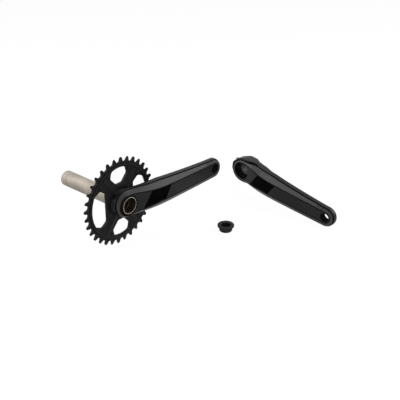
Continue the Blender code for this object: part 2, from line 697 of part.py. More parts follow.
def build_left_arm():
    arm = crank_arm("left_crank_arm", left_frame)
    barrel = plate("clamp_tool", round_outline(bore_radius + CLAMP_WALL), HEAD_DEPTH / 2,
                   boss_length, cutters)
    lugs = box_tool("lug_tool", (-LUG_REACH, LUG_FROM_FACE, -LUG_HALF_HEIGHT),
                    (0.0, boss_length - CUT_OVERLAP, LUG_HALF_HEIGHT), LUG_ROUNDING)
    bore = turned("clamp_bore_cutter", [
        (0.0, boss_length + CUT_OVERLAP), (bore_radius, boss_length + CUT_OVERLAP),
        (bore_radius, CAP_SEAT_DEPTH), (cap_seat_radius, CAP_SEAT_DEPTH),
        (cap_seat_radius, -flare - CUT_OVERLAP), (0.0, -flare - CUT_OVERLAP),
    ], cutters, closed=False)
    slit = box_tool("slit_cutter", (-LUG_REACH - CUT_OVERLAP, LUG_FROM_FACE / 2, -SLIT_WIDTH / 2),
                    (CUT_OVERLAP - bore_radius, boss_length + CUT_OVERLAP, SLIT_WIDTH / 2))
    combine(arm, place(hide_cutter(barrel), left_frame), "UNION")
    combine(arm, place(lugs, left_frame), "UNION")
    combine(arm, place(hide_cutter(bore), left_frame, rotation=LAID_ALONG_Y))
    combine(arm, place(slit, left_frame))
    past_lug = LUG_HALF_HEIGHT + CUT_OVERLAP
    for name, y, side in bolt_sides:
        seat = (washer_radius + FIT_GAP, BOLT_SEAT_HEIGHT, 2 * LUG_HALF_HEIGHT)
        hole = (bolt_hole_radius, -past_lug, past_lug)
        for kind, (radius, low, high) in (("seat", seat), ("hole", hole)):
            profile = [(0.0, high), (radius, high), (radius, low), (0.0, low)]
            cutter = turned(f"{name}_bolt_{kind}_cutter", profile, cutters, False, BOLT_SEGMENTS)
            place(hide_cutter(cutter), left_frame, (-bolt_from_axis, y, 0.0), head_way(side))
            combine(arm, cutter)
    cut_pedal_end(arm, "left", left_frame)


# Turns a shape made along +Z so that its head looks up or down.
def head_way(side):
    return (0.0, 0.0, 0.0) if side > 0 else (math.pi, 0.0, 0.0)


def build_clamp_fasteners():
    seat = BOLT_SEAT_HEIGHT + FIT_GAP
    head_seat = seat + WASHER_THICKNESS + FIT_GAP
    head_top = head_seat + BOLT_HEAD_HEIGHT
    bolt_end = BOLT_END_INSET - LUG_HALF_HEIGHT
    for name, y, side in bolt_sides:
        washer = turned(f"{name}_pinch_washer", [
            (washer_radius, seat + WASHER_THICKNESS), (washer_radius, seat),
            (bolt_hole_radius, seat), (bolt_hole_radius, seat + WASHER_THICKNESS),
        ], parts, closed=True, segments=BOLT_SEGMENTS)
        bolt = turned(f"{name}_pinch_bolt", [
            (0.0, head_top), (bolt_head_radius - FIT_GAP, head_top), (bolt_head_radius, head_top - FIT_GAP),
            (bolt_head_radius, head_seat), (BOLT_RADIUS, head_seat), (BOLT_RADIUS, bolt_end), (0.0, bolt_end),
        ], parts, closed=False, segments=BOLT_SEGMENTS)
        socket = turned(f"{name}_bolt_socket_cutter", [
            (0.0, head_top + CUT_OVERLAP), (BOLT_SOCKET_RADIUS, head_top + CUT_OVERLAP),
            (BOLT_SOCKET_RADIUS, head_top - BOLT_SOCKET_DEPTH), (0.0, head_top - BOLT_SOCKET_DEPTH),
        ], cutters, closed=False, segments=HEX_SIDES)
        for item in (washer, bolt, hide_cutter(socket)):
            place(item, left_frame, (-bolt_from_axis, y, 0.0), head_way(side))
        combine(bolt, socket)
        give_finish(washer, ZINC_STEEL)
        give_finish(bolt, ZINC_STEEL)


# The stopper lies in the slit, turns on the inner bolt and hooks round the outer one.
# Its nib reaches into the clamp's bore, just outside the end of the spindle.
def build_stopper():
    eye = bolt_hole_radius + STOPPER_EYE_WALL
    strip_in = -bolt_hole_radius - FIT_GAP
    strip_out = strip_in - STOPPER_STRIP_WIDTH
    nib_near = -BOLT_SPACING - bolt_hole_radius - FIT_GAP
    nib_far = nib_near - STOPPER_NIB_WIDTH
    nib_end = bolt_from_axis - bore_radius + STOPPER_NIB_REACH
    outline = arc((0.0, 0.0), eye, -math.pi / 3, math.pi)
    outline += [(strip_out, -eye), (strip_out, nib_far), (nib_end, nib_far), (nib_end, nib_near),
                (strip_in, nib_near), (strip_in, -eye)]
    half = STOPPER_THICKNESS / 2
    stopper = plate("stopper_plate", outline, -half, half, parts)
    hole = plate("stopper_eye_cutter", round_outline(bolt_hole_radius, BOLT_SEGMENTS),
                 -half - CUT_OVERLAP, half + CUT_OVERLAP, cutters)
    for item in (stopper, hide_cutter(hole)):
        place(item, left_frame, (-bolt_from_axis, inner_bolt_place, 0.0), LAID_ALONG_Y)
    combine(stopper, hole)
    give_finish(stopper, BLACK_PLASTIC)


def build_cap():
    body_radius = spindle_bore_radius - FIT_GAP
    cone_top = CAP_BODY_LENGTH + CAP_CONE_HEIGHT
    top = cone_top + CAP_FLANGE_THICKNESS
    edge = CAP_EDGE_ROUNDING
    cap = turned("preload_cap", [
        (0.0, top), (CAP_FLANGE_RADIUS - edge, top), (CAP_FLANGE_RADIUS, top - edge),
        (CAP_FLANGE_RADIUS, cone_top), (body_radius, CAP_BODY_LENGTH), (body_radius, edge),
        (body_radius - edge, 0.0), (0.0, 0.0),
    ], parts, closed=False)
    stand = (CAP_AHEAD, CAP_ASIDE, floor)
    place(cap, None, stand)
    star = plate("cap_socket_cutter", splined_outline(CAP_SOCKET_RADIUS, CAP_SOCKET_LOBE, CAP_SOCKET_LOBES),
                 top - CAP_SOCKET_DEPTH, top + CUT_OVERLAP, cutters)
    combine(cap, place(hide_cutter(star), None, stand, (math.pi / 2, 0.0, 0.0)))
    give_finish(cap, BLACK_PLASTIC)


build_right_arm()
build_spindle()
build_chainring()
build_rivets()
build_lockring()
build_left_arm()
build_clamp_fasteners()
build_stopper()
build_cap()
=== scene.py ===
import math

import bmesh
import bpy
from mathutils import Matrix, Vector


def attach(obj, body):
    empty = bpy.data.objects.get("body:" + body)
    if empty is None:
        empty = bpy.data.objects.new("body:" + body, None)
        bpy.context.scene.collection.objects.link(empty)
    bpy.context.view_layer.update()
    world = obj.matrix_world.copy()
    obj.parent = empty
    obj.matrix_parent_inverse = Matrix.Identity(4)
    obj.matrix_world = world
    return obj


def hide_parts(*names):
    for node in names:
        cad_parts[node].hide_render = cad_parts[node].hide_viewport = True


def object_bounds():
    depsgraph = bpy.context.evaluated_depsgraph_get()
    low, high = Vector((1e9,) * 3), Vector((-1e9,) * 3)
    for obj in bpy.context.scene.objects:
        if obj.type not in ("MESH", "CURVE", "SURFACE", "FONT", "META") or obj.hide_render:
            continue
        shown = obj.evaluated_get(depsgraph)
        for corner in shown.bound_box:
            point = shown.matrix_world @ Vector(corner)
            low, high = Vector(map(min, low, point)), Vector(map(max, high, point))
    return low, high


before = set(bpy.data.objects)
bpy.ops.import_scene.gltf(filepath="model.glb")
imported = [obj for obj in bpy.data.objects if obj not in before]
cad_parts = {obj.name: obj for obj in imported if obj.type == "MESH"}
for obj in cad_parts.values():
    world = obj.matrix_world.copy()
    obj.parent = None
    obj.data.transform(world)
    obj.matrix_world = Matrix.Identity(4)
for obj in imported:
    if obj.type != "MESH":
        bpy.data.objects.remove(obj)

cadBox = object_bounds()
mm = 0.001
scene = bpy.context.scene
scene.view_settings.view_transform = "Standard"
print("frame loaded,", len(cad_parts), "nodes")


# colours and nodes

def hexColour(code):
    channels = [int(code[i:i + 2], 16) / 255 for i in (1, 3, 5)]
    linear = [c / 12.92 if c <= 0.04045 else ((c + 0.055) / 1.055) ** 2.4 for c in channels]
    return (*linear, 1.0)


def addNode(tree, kind, settings=None, links=None):
    node = tree.nodes.new(kind)
    for name, value in (settings or {}).items():
        if isinstance(name, int) or name in node.inputs:
            node.inputs[name].default_value = value
        else:
            setattr(node, name, value)
    for name, source in (links or {}).items():
        tree.links.new(source, node.inputs[name])
    return node


def newMaterial(name, shaderSettings):
    material = bpy.data.materials.new(name)
    material.use_nodes = True
    tree = material.node_tree
    shader = tree.nodes["Principled BSDF"]
    for socket, value in shaderSettings.items():
        shader.inputs[socket].default_value = value
    place = addNode(tree, "ShaderNodeTexCoord").outputs["Object"]
    return material, tree, shader, place


# pattern scale for a feature of that many millimetres, on coordinates in metres
def perMetre(size):
    return 1.0 / (size * mm)


# a pattern's value sets the finish: its colour runs from dark to light and its roughness from low to high
def spreadFinish(tree, shader, pattern, look):
    ramp = addNode(tree, "ShaderNodeValToRGB", links={"Fac": pattern})
    for element, place, code in zip(ramp.color_ramp.elements, look["spread"], (look["dark"], look["light"])):
        element.position = place
        element.color = hexColour(code)
    low, high = look["rough"]
    rough = addNode(tree, "ShaderNodeMapRange", {"To Min": low, "To Max": high}, {"Value": pattern})
    tree.links.new(ramp.outputs["Color"], shader.inputs["Base Color"])
    tree.links.new(rough.outputs["Result"], shader.inputs["Roughness"])


# satin paint on forged aluminium, near-black on the arms; its paler copy on the chamfers and the drive-side
# collar is a painted highlight: soft sheen, fine metal flake, faint orange peel
def makeSatinPaint(name, dark, light):
    look = {"dark": dark, "light": light, "spread": (0.35, 0.65), "rough": (0.3, 0.4), "flake": 0.9,
            "cloud": 28.0, "cloudShare": 0.4, "peel": 1.4, "peelStrength": 0.08, "peelHeight": 0.0001}
    material, tree, shader, place = newMaterial(name, {"Specular IOR Level": 0.11})
    noise = {}
    for layer, detail in (("flake", 2.0), ("cloud", 3.0), ("peel", 1.0)):
        noise[layer] = addNode(tree, "ShaderNodeTexNoise", {"Scale": perMetre(look[layer]), "Detail": detail},
                               {"Vector": place}).outputs["Fac"]
    mixed = addNode(tree, "ShaderNodeMix", {"Factor": look["cloudShare"]},
                    {"A": noise["flake"], "B": noise["cloud"]})
    spreadFinish(tree, shader, mixed.outputs["Result"], look)
    bump = addNode(tree, "ShaderNodeBump", {"Strength": look["peelStrength"], "Distance": look["peelHeight"]},
                   {"Height": noise["peel"]})
    tree.links.new(bump.outputs["Normal"], shader.inputs["Normal"])
    return material


# a finish that a soft noise mottles, in spots of that many millimetres, with a tool's rings where it has a
# wave; bump is the strength and height of the rings, or else of the spots
def makeFinish(name, shaderSettings, look, wave=None):
    material, tree, shader, place = newMaterial(name, shaderSettings)
    noise = addNode(tree, "ShaderNodeTexNoise", {"Scale": perMetre(look["spot"]), "Detail": look["detail"]},
                    {"Vector": place})
    relief = pattern = noise.outputs["Fac"]
    if wave:
        rings = addNode(tree, "ShaderNodeTexWave", {**wave, "Scale": perMetre(look["ring"]) / math.tau},
                        {"Vector": place})
        relief = rings.outputs["Fac"]
        mixed = addNode(tree, "ShaderNodeMix", {"Factor": look["spotShare"]}, {"A": relief, "B": pattern})
        pattern = mixed.outputs["Result"]
    spreadFinish(tree, shader, pattern, look)
    if "bump" in look:
        strength, height = look["bump"]
        bump = addNode(tree, "ShaderNodeBump", {"Strength": strength, "Distance": height}, {"Height": relief})
        tree.links.new(bump.outputs["Normal"], shader.inputs["Normal"])
    return material


satinPaint = makeSatinPaint("satin_charcoal_paint", "#101011", "#18181a")
# paler copy of the paint: a painted highlight on the arms' chamfers and the drive-side collar
highlightPaint = makeSatinPaint("satin_paint_painted_highlight", "#2a2a2b", "#333334")
# black lacquer panel: smooth and deep, with the faintest cloud in its gloss
glossLacquer = makeFinish("gloss_black_lacquer", {"Specular IOR Level": 0.01}, {
    "dark": "#010102", "light": "#040405", "spread": (0.35, 0.7), "rough": (0.12, 0.22),
    "spot": 14.0, "detail": 2.0})
# painted shade in the arms' grooves and recesses, the pedal holes and the clamp bore's mouth: near-black and
# matt, with a fine uneven skin
shadePaint = makeFinish("painted_shade_black", {"Specular IOR Level": 0.03}, {
    "dark": "#030303", "light": "#080809", "spread": (0.3, 0.7), "rough": (0.6, 0.8),
    "spot": 1.2, "detail": 3.0})
# machined aluminium in splines, threads and bolt seats, darkened as painted shade inside them: dull
# grey-green and a little cloudy
darkenedAluminium = makeFinish("cut_aluminium_painted_shade", {"Metallic": 0.7, "Specular IOR Level": 0.2}, {
    "dark": "#101210", "light": "#2c302c", "spread": (0.3, 0.7), "rough": (0.35, 0.55),
    "spot": 5.0, "detail": 4.0})
# satin nickel on ground steel: warm grey metal; the grinding rings are drawn coarser than real ones, to show
nickel = makeFinish("satin_nickel_plate", {"Metallic": 1.0}, {
    "dark": "#868078", "light": "#978f86", "spread": (0.3, 0.7), "rough": (0.78, 0.68), "ring": 0.5,
    "spot": 16.0, "detail": 2.0, "spotShare": 0.94, "bump": (0.01, 0.00002),
}, {"bands_direction": "Y", "Distortion": 1.5, "Detail": 3.0})
# a darker, dull steel colour inside the tube; the same colour on the press ring's outer wall is painted shade
darkSteelAndShade = makeFinish("dark_steel_and_painted_shade", {"Metallic": 0.4, "Specular IOR Level": 0.2}, {
    "dark": "#14110d", "light": "#2a241c", "spread": (0.3, 0.7), "rough": (0.45, 0.65),
    "spot": 6.0, "detail": 4.0})
# black anodised aluminium: matt, with fine turning rings about the spindle's axis
anodised = makeFinish("black_anodised_aluminium", {"Specular IOR Level": 0.07}, {
    "dark": "#0b0b0c", "light": "#141416", "spread": (0.3, 0.7), "rough": (0.36, 0.5), "ring": 0.7,
    "spot": 0.8, "detail": 3.0, "spotShare": 0.8, "bump": (0.04, 0.00005),
}, {"wave_type": "RINGS", "rings_direction": "Y", "Distortion": 0.4})
# black oxide on steel: near-black, a little patchy, with a dull sheen
blackOxide = makeFinish("black_oxide_steel", {"Specular IOR Level": 0.08}, {
    "dark": "#0a0a0b", "light": "#121213", "spread": (0.3, 0.7), "rough": (0.32, 0.48),
    "spot": 3.5, "detail": 5.0})
# zinc plate on steel: bright cool grey with a faintly mottled skin
zinc = makeFinish("zinc_plated_steel", {"Metallic": 1.0}, {
    "dark": "#8b8d8c", "light": "#c2c4c1", "spread": (0.3, 0.7), "rough": (0.38, 0.24),
    "spot": 1.6, "detail": 4.0})
# moulded black nylon: soft sheen and a fine spark-eroded grain
nylon = makeFinish("moulded_black_nylon", {"Specular IOR Level": 0.14}, {
    "dark": "#0b0b0c", "light": "#151516", "spread": (0.3, 0.7), "rough": (0.4, 0.55),
    "spot": 0.7, "detail": 3.0, "bump": (0.12, 0.0001)})
print("materials made")


# mesh helpers; pieces are drawn in millimetres, cut there, and then placed by a frame that scales them to
# metres; a profile is a list of (radius, along) points round the Y axis

weldDistance = 0.002
sharpAngle = 32.0


# a closed row of points, laid out from a circle
def addRow(bm, points):
    row = bmesh.ops.create_circle(bm, segments=len(points), radius=1.0)["verts"]
    for vert, point in zip(row, points):
        vert.co = point
    return list({edge for vert in row for edge in vert.link_edges})


# rows skinned one after another; ends is "open", "filled" or "joined"
def skinRows(bm, pointRows, ends):
    loops = [addRow(bm, points) for points in pointRows]
    pairs = list(zip(loops, loops[1:]))
    if ends == "joined":
        pairs.append((loops[-1], loops[0]))
    bands = [bmesh.ops.bridge_loops(bm, edges=first + second)["faces"] for first, second in pairs]
    if ends == "filled":
        for loop in (loops[0], loops[-1]):
            bmesh.ops.contextual_create(bm, geom=loop)
    return loops, bands


def paintFaces(faces, finish):
    for face in faces:
        face.material_index = finish


# the rows of a profile, for skinRows; a radius is a number or follows the turn
def roundRows(profile, count):
    rows = []
    for radius, along in profile:
        row = []
        for i in range(count):
            turn = math.tau * i / count
            reach = radius(turn) if callable(radius) else radius
            row.append((reach * math.cos(turn), along, reach * math.sin(turn)))
        rows.append(row)
    return rows


def turnProfile(bm, profile, steps, closed):
    verts = [bm.verts.new((radius, along, 0.0)) for radius, along in profile]
    edges = [bm.edges.new(pair) for pair in zip(verts, verts[1:])]
    if closed:
        edges.append(bm.edges.new((verts[-1], verts[0])))
    bmesh.ops.spin(bm, geom=verts + edges, cent=(0, 0, 0), axis=(0, 1, 0), dvec=(0, 0, 0),
                   angle=math.tau, steps=steps, use_merge=True)
    bmesh.ops.remove_doubles(bm, verts=bm.verts, dist=0.001)


def toObject(name, bm, materials, placing=None, turnOut=True):
    if placing:
        bm.transform(placing)
    if turnOut:
        bmesh.ops.recalc_face_normals(bm, faces=bm.faces)
    mesh = bpy.data.meshes.new(name)
    bm.to_mesh(mesh)
    bm.free()
    for material in materials:
        mesh.materials.append(material)
    piece = bpy.data.objects.new(name, mesh)
    scene.collection.objects.link(piece)
    return piece


# a closed tool skinned over rows; its first bands may have a finish of their own
def skinnedTool(name, rows, finish=0, firstBands=0, firstFinish=0, placing=None):
    bm = bmesh.new()
    bands = skinRows(bm, rows, "filled")[1]
    paintFaces(bm.faces, finish)
    for band in bands[:firstBands]:
        paintFaces(band, firstFinish)
    return toObject(name, bm, [], placing)


def turnedTool(name, profile, placing=None, steps=96, finish=0):
    bm = bmesh.new()
    turnProfile(bm, profile, steps, closed=False)
    paintFaces(bm.faces, finish)
    return toObject(name, bm, [], placing)


# joins or cuts with other meshes, one after another, then places the result
def carve(piece, steps, placing):
    for tool, operation in steps:
        boolean = piece.modifiers.new(tool.name, "BOOLEAN")
        boolean.operation = operation
        boolean.solver = "EXACT"
        boolean.object = tool
    depsgraph = bpy.context.evaluated_depsgraph_get()
    piece.data = bpy.data.meshes.new_from_object(piece.evaluated_get(depsgraph))
    piece.modifiers.clear()
    bm = bmesh.new()
    bm.from_mesh(piece.data)
    bmesh.ops.remove_doubles(bm, verts=bm.verts, dist=weldDistance)
    bmesh.ops.dissolve_degenerate(bm, edges=bm.edges, dist=weldDistance)
    bmesh.ops.holes_fill(bm, edges=[edge for edge in bm.edges if edge.is_boundary], sides=4)
    bm.transform(placing)
    bm.to_mesh(piece.data)
    bm.free()
    for tool, operation in steps:
        bpy.data.objects.remove(tool)


def finishPiece(piece, body, nodes):
    piece.data.shade_smooth()
    piece.data.set_sharp_from_angle(angle=math.radians(sharpAngle))
    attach(piece, body)
    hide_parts(*nodes)
    print(piece.name, len(piece.data.polygons), "faces")


def smoothStep(share):
    share = min(max(share, 0.0), 1.0)
    return share * share * (3.0 - 2.0 * share)


# profile of a screw thread, whose radii follow the turn; hand is 1 for right-handed
def threadProfile(start, end, radius, depth, pitch, hand=1, perPitch=5):
    def radiusAt(along):
        return lambda turn: radius - depth * abs(2 * ((along / pitch - hand * turn / math.tau) % 1.0) - 1.0)

    steps = max(round((end - start) / pitch * perPitch), 1)
    places = [start + (end - start) * i / steps for i in range(steps + 1)]
    return [(radiusAt(along), along) for along in places]


# a radius with splines; blur is the share of their pitch that their flanks take
def splineRadius(radius, depth, count, blur):
    def at(turn):
        phase = (turn * count / math.tau + 0.25) % 1.0
        raised = smoothStep((0.25 - abs(phase - 0.5) + blur / 2) / blur)
        return radius - depth * (1.0 - raised)
    return at


# the arms' own frames: X along the arm from the spindle's axis, Y inboard from the head's face, Z up;
# three values are a size at the head, the waist and the tip

crank = {
    "length": 175.0, "headFace": 73.5, "flare": 12.5, "flareStart": 4.0, "flareLength": 15.5, "waist": 62.0,
    "taper": 1.24, "face": (16.0, 11.6, 9.8), "shoulder": (21.2, 20.4, 15.6), "side": (21.6, 20.8, 16.0),
    "flat": (0.0, 0.0, 0.0), "shoulderDepth": (8.9, 9.0, 2.6), "depth": (15.5, 20.5, 13.2),
    "underShare": 0.66, "headPoints": 20, "stations": 57, "stationSpread": 1.3, "tipPoints": 14,
    "bandStart": 31.2, "bandEnd": 71.0, "bandLean": 0.6, "bandSink": 0.2, "bandEdge": 0.15,
}
# section of the arm from its outer face to its back: which size it follows, and how far out or behind it
armSection = [
    ("face", -1.5, "flat", 0.0), ("face", -1.35, "flat", 0.55), ("face", -0.3, "flat", 0.75),
    ("face", -0.1, "flat", 0.15), ("face", 0.35, "flat", 0.3),
    ("shoulder", -1.4, "shoulderDepth", -1.15), ("shoulder", -1.05, "shoulderDepth", -0.65),
    ("shoulder", -2.1, "shoulderDepth", 0.25), ("shoulder", -2.0, "shoulderDepth", 1.25),
    ("shoulder", -0.35, "shoulderDepth", 1.4), ("shoulder", 0.05, "shoulderDepth", 1.8),
    ("side", 0.0, "depth", -3.6), ("side", -0.3, "depth", -2.5), ("side", -1.1, "depth", -1.3),
    ("side", -2.3, "depth", -0.4), ("side", -3.6, "depth", 0.0), ("side", -4.6, "depth", 0.0),
]
# the grooves' faces take painted shade
grooveShadeBands = (1, 6, 7, 8)  # the two grooves
# the chamfer band takes the painted highlight
litChamferBand = 4
armFinishes = [satinPaint, glossLacquer, darkenedAluminium, shadePaint, highlightPaint]
lacquered, darkenedMachining, inShade, highlighted = range(1, len(armFinishes))  # the rest is painted
# the left arm's head: its chamfer narrows round the bore, the clamp rises behind it, and a scoop parts the
# two; shifts move each level out, back, and back again in the scoop; hump moves the back, as (x, how far)
clampForm = {
    "fade": (4.0, 32.0), "scoopStart": (6.0, 16.0), "scoopEnd": (22.0, 33.0),
    "shifts": [(-1.5, 0.0, 0.0)] * 5
    + [(-2.8, -6.15, 0.0), (-2.85, -6.25, 0.0), (-2.2, -5.75, 1.0),
       (-2.0, -6.55, 3.0), (-2.95, -7.1, 3.0), (-0.35, -7.3, 3.0)]
    + [(-1.4, 0.0, 0.0)] * 6,
    "hump": [(-22.0, 4.0), (-8.0, 5.0), (2.0, 10.8), (13.0, 10.8), (24.0, 6.4), (34.0, 5.2), (60.0, 0.0)],
}
pedal = {"radius": 7.15, "thread": 0.4, "pitch": 1.27, "mouth": 7.6, "chamfer": 0.5, "past": 3.0, "count": 64}
pocket = {"start": 84.0, "end": 150.0, "half": 7.0, "depth": 5.0, "draft": 0.88, "footShare": 0.06,
          "footHeight": 0.4, "wallTop": 5.0, "mouth": 1.06, "past": 1.0, "count": 48}
leftPlace = {"ahead": 248.6, "aside": -82.1, "turn": -90.0, "lean": 7.1}

floorHeight = cadBox[0][2] / mm
leftLean = math.radians(leftPlace["lean"])
leftRise = floorHeight + crank["length"] * math.sin(leftLean) + crank["side"][2]
toMetres = Matrix.Scale(mm, 4)
driveFrame = toMetres @ Matrix.Translation((0.0, -crank["headFace"], 0.0))
leftFrame = (toMetres @ Matrix.Translation((leftPlace["ahead"], leftPlace["aside"], leftRise))
             @ Matrix.Rotation(math.radians(leftPlace["turn"]), 4, "Z") @ Matrix.Rotation(leftLean, 4, "Y"))


def alongArm(x, values):
    head, waist, tip = values
    if x < crank["waist"]:
        return head + (waist - head) * smoothStep(x / crank["waist"])
    left = max(crank["length"] - x, 0.0) / (crank["length"] - crank["waist"])
    return tip + (waist - tip) * left ** crank["taper"]


def facePlace(x):
    run = max(x - crank["flareStart"], 0.0) / crank["flareLength"]
    return -crank["flare"] * (1.0 - (1.0 + run) * math.exp(-run))


def fadeOut(x, span):
    return 1.0 - smoothStep((x - span[0]) / (span[1] - span[0]))


def humpAt(x):
    reach = clampForm["hump"][0][1]
    for (start, low), (end, high) in zip(clampForm["hump"], clampForm["hump"][1:]):
        reach += (high - low) * smoothStep((x - start) / (end - start))
    return reach


# one level of the arm; no point lies on the middle line, so the upper and lower halves stay two chains
def armRow(level, clampShift):
    halfName, halfShift, depthName, depthShift = level
    moveOut, moveBack, scoop = clampShift
    fade, length = clampForm["fade"], crank["length"]
    halves = [half + halfShift for half in crank[halfName]]
    headHalf, tipHalf = halves[0] + moveOut, halves[2]
    outline = []  # x, distance from the middle line, and how far round towards the top
    for i in range(crank["headPoints"]):
        turn = math.pi * (1.0 - (i + 0.5) / (2 * crank["headPoints"]))
        outline.append((headHalf * math.cos(turn), headHalf * math.sin(turn), math.sin(turn)))
    for i in range(crank["stations"] + 1):
        x = length * (i / crank["stations"]) ** crank["stationSpread"]
        outline.append((x, alongArm(x, halves) + moveOut * fadeOut(x, fade), 1.0))
    for i in range(crank["tipPoints"]):
        turn = math.pi / 2 * (1.0 - (i + 0.5) / crank["tipPoints"])
        outline.append((length + tipHalf * math.cos(turn), tipHalf * math.sin(turn), math.sin(turn)))
    row = []
    for x, up, top in outline + [(x, -up, -top) for x, up, top in reversed(outline)]:
        depth = alongArm(x, crank[depthName]) + moveBack * fadeOut(x, fade)
        if depthName == "shoulderDepth":  # the chamfer is shallower underneath
            depth *= crank["underShare"] + (1.0 - crank["underShare"]) * smoothStep(0.5 + top / 2)
        depth += depthShift
        depth += scoop * (1.0 - fadeOut(x, clampForm["scoopStart"])) * fadeOut(x, clampForm["scoopEnd"])
        if depthName == "depth" and moveOut:  # only the clamped arm's levels are moved
            depth += humpAt(x)
        row.append((x, facePlace(x) + depth, up))
    return row


def sameSide(edges, sign):
    return [edge for edge in edges if all(vert.co.z * sign > 0 for vert in edge.verts)]


# the lacquered band: the outer face is cut along two slanting planes, and what lies between is sunk a little
def sinkBand(bm, faces):
    lean = Vector((1.0, 0.0, -crank["bandLean"])).normalized()
    for start in (crank["bandStart"], crank["bandEnd"]):
        geom = faces + list({edge for face in faces for edge in face.edges})
        geom += list({vert for face in faces for vert in face.verts})
        cut = bmesh.ops.bisect_plane(bm, geom=geom, dist=0.0001, plane_co=(start, 0.0, 0.0), plane_no=lean)
        faces = [item for item in cut["geom"] if isinstance(item, bmesh.types.BMFace)]
    band = []
    for face in faces:
        across = face.calc_center_median().dot(lean) / lean.x
        if crank["bandStart"] < across < crank["bandEnd"]:
            band.append(face)
    bmesh.ops.inset_region(bm, faces=band, thickness=crank["bandEdge"], depth=-crank["bandSink"],
                           use_even_offset=True)
    paintFaces(band, lacquered)


def buildArmBlank(name, clamped):
    bm = bmesh.new()
    shifts = clampForm["shifts"] if clamped else [(0.0, 0.0, 0.0)] * len(armSection)
    loops, bands = skinRows(bm, [armRow(*pair) for pair in zip(armSection, shifts)], "open")
    outer, back = loops[0], loops[-1]
    # painted shade in the grooves
    for number in grooveShadeBands:
        paintFaces(bands[number], inShade)
    # painted highlight on the chamfer
    paintFaces(bands[litChamferBand], highlighted)
    bmesh.ops.bridge_loops(bm, edges=sameSide(back, 1) + sameSide(back, -1))
    face = bmesh.ops.bridge_loops(bm, edges=sameSide(outer, 1) + sameSide(outer, -1))["faces"]
    bmesh.ops.recalc_face_normals(bm, faces=bm.faces)
    sinkBand(bm, face)
    return toObject(name, bm, armFinishes)


# tapped hole for the pedal, with a countersunk mouth on both faces
def pedalTool(hand):
    face = -crank["flare"]
    back = crank["depth"][2] - crank["flare"]
    mouth, chamfer, past = pedal["mouth"], pedal["chamfer"], pedal["past"]
    profile = [(mouth, face - past), (mouth, face)]
    profile += threadProfile(face + chamfer, back - chamfer, pedal["radius"], pedal["thread"],
                             pedal["pitch"], hand)
    profile += [(mouth, back), (mouth, back + past)]
    # painted shade in the tapped hole
    return skinnedTool("pedal_tool", roundRows(profile, pedal["count"]), inShade,
                       placing=Matrix.Translation((crank["length"], 0.0, 0.0)))


# rounded slot sunk into the back of the arm, with sloping walls
def pocketTool():
    middle = (pocket["start"] + pocket["end"]) / 2
    straight = (pocket["end"] - pocket["start"]) / 2 - pocket["half"]
    floor = crank["depth"][2] - crank["flare"] - pocket["depth"]
    top = crank["depth"][1] - crank["flare"] + pocket["past"]
    sizes = [(pocket["draft"] - pocket["footShare"], floor), (pocket["draft"], floor + pocket["footHeight"]),
             (1.0, top - pocket["wallTop"]), (pocket["mouth"], top)]
    profile = [(pocket["half"] * size, along) for size, along in sizes]
    rows = [[(middle + x + math.copysign(straight, x), y, z) for x, y, z in row]
            for row in roundRows(profile, pocket["count"])]
    return skinnedTool("pocket_tool", rows)


# drive-side arm: forged boss behind the head with lobed collar, spider splines and lockring thread

boss = {
    "rootStart": 8.0, "rootEnd": 13.0, "rootTaper": 1.0, "collar": 19.8, "collarEnd": 19.0, "highlightCollarBands": 5,
    "collarEdge": (0.6, 0.7), "lobes": 4, "lobeStart": 15.2, "lobeRise": 0.4,
    "notchWidth": 7.0, "notchDepth": 1.8, "notchFlat": 0.8, "notchEase": 0.5,
    "spline": 17.2, "splineDepth": 1.4, "splines": 8, "splineBlur": 0.12,
    "splineEnd": 23.4, "splineEdge": 0.4, "thread": 14.6, "threadDepth": 0.35, "threadPitch": 1.0,
    "threadGap": 0.3, "end": 27.0, "endEdge": (0.7, 0.6), "bore": 12.3, "boreEdge": 0.6,
    "press": 13.7, "pressEnd": 13.3, "lip": 0.4, "lipStart": 0.3, "lipEnd": 0.1,
    "recess": 16.2, "recessShift": -2.2, "recessDepth": 2.2, "recessEdge": 0.5, "recessDraft": 0.3,
    "past": 18.0, "clear": 1.0, "count": 192,
}


def lobedRadius(shrink):
    half = math.asin(boss["notchWidth"] / 2 / boss["collar"])

    def radius(turn):
        pitch = math.tau / boss["lobes"]
        away = abs((turn % pitch) - pitch / 2)
        notch = 1.0 - smoothStep((away - half * boss["notchFlat"]) / (half * boss["notchEase"]))
        return boss["collar"] - shrink - boss["notchDepth"] * notch
    return radius


def bossSpline(grow):
    return splineRadius(boss["spline"] + grow, boss["splineDepth"], boss["splines"], boss["splineBlur"])


def bossTool():
    collar, collarEnd, splineEnd = boss["collar"], boss["collarEnd"], boss["splineEnd"]
    thread, threadDepth, end = boss["thread"], boss["threadDepth"], boss["end"]
    collarIn, collarBefore = boss["collarEdge"]
    endIn, endBefore = boss["endEdge"]
    profile = [
        (collar - boss["rootTaper"], boss["rootStart"]), (collar, boss["rootEnd"]),
        (collar, boss["lobeStart"]), (lobedRadius(0.0), boss["lobeStart"] + boss["lobeRise"]),
        (lobedRadius(0.0), collarEnd - collarBefore), (lobedRadius(collarIn), collarEnd),
        (bossSpline(0.0), collarEnd),
        (bossSpline(0.0), splineEnd - boss["splineEdge"]), (bossSpline(-boss["splineEdge"]), splineEnd),
        (thread - threadDepth, splineEnd),
    ]
    profile += threadProfile(splineEnd + boss["threadGap"], end - endBefore, thread, threadDepth,
                             boss["threadPitch"])
    profile.append((thread - endIn, end))
    # the collar's first bands take the painted highlight; its splines and thread take the machined finish
    # darkened as painted shade
    return skinnedTool("boss_tool", roundRows(profile, boss["count"]), darkenedMachining,
                       boss["highlightCollarBands"], highlighted)


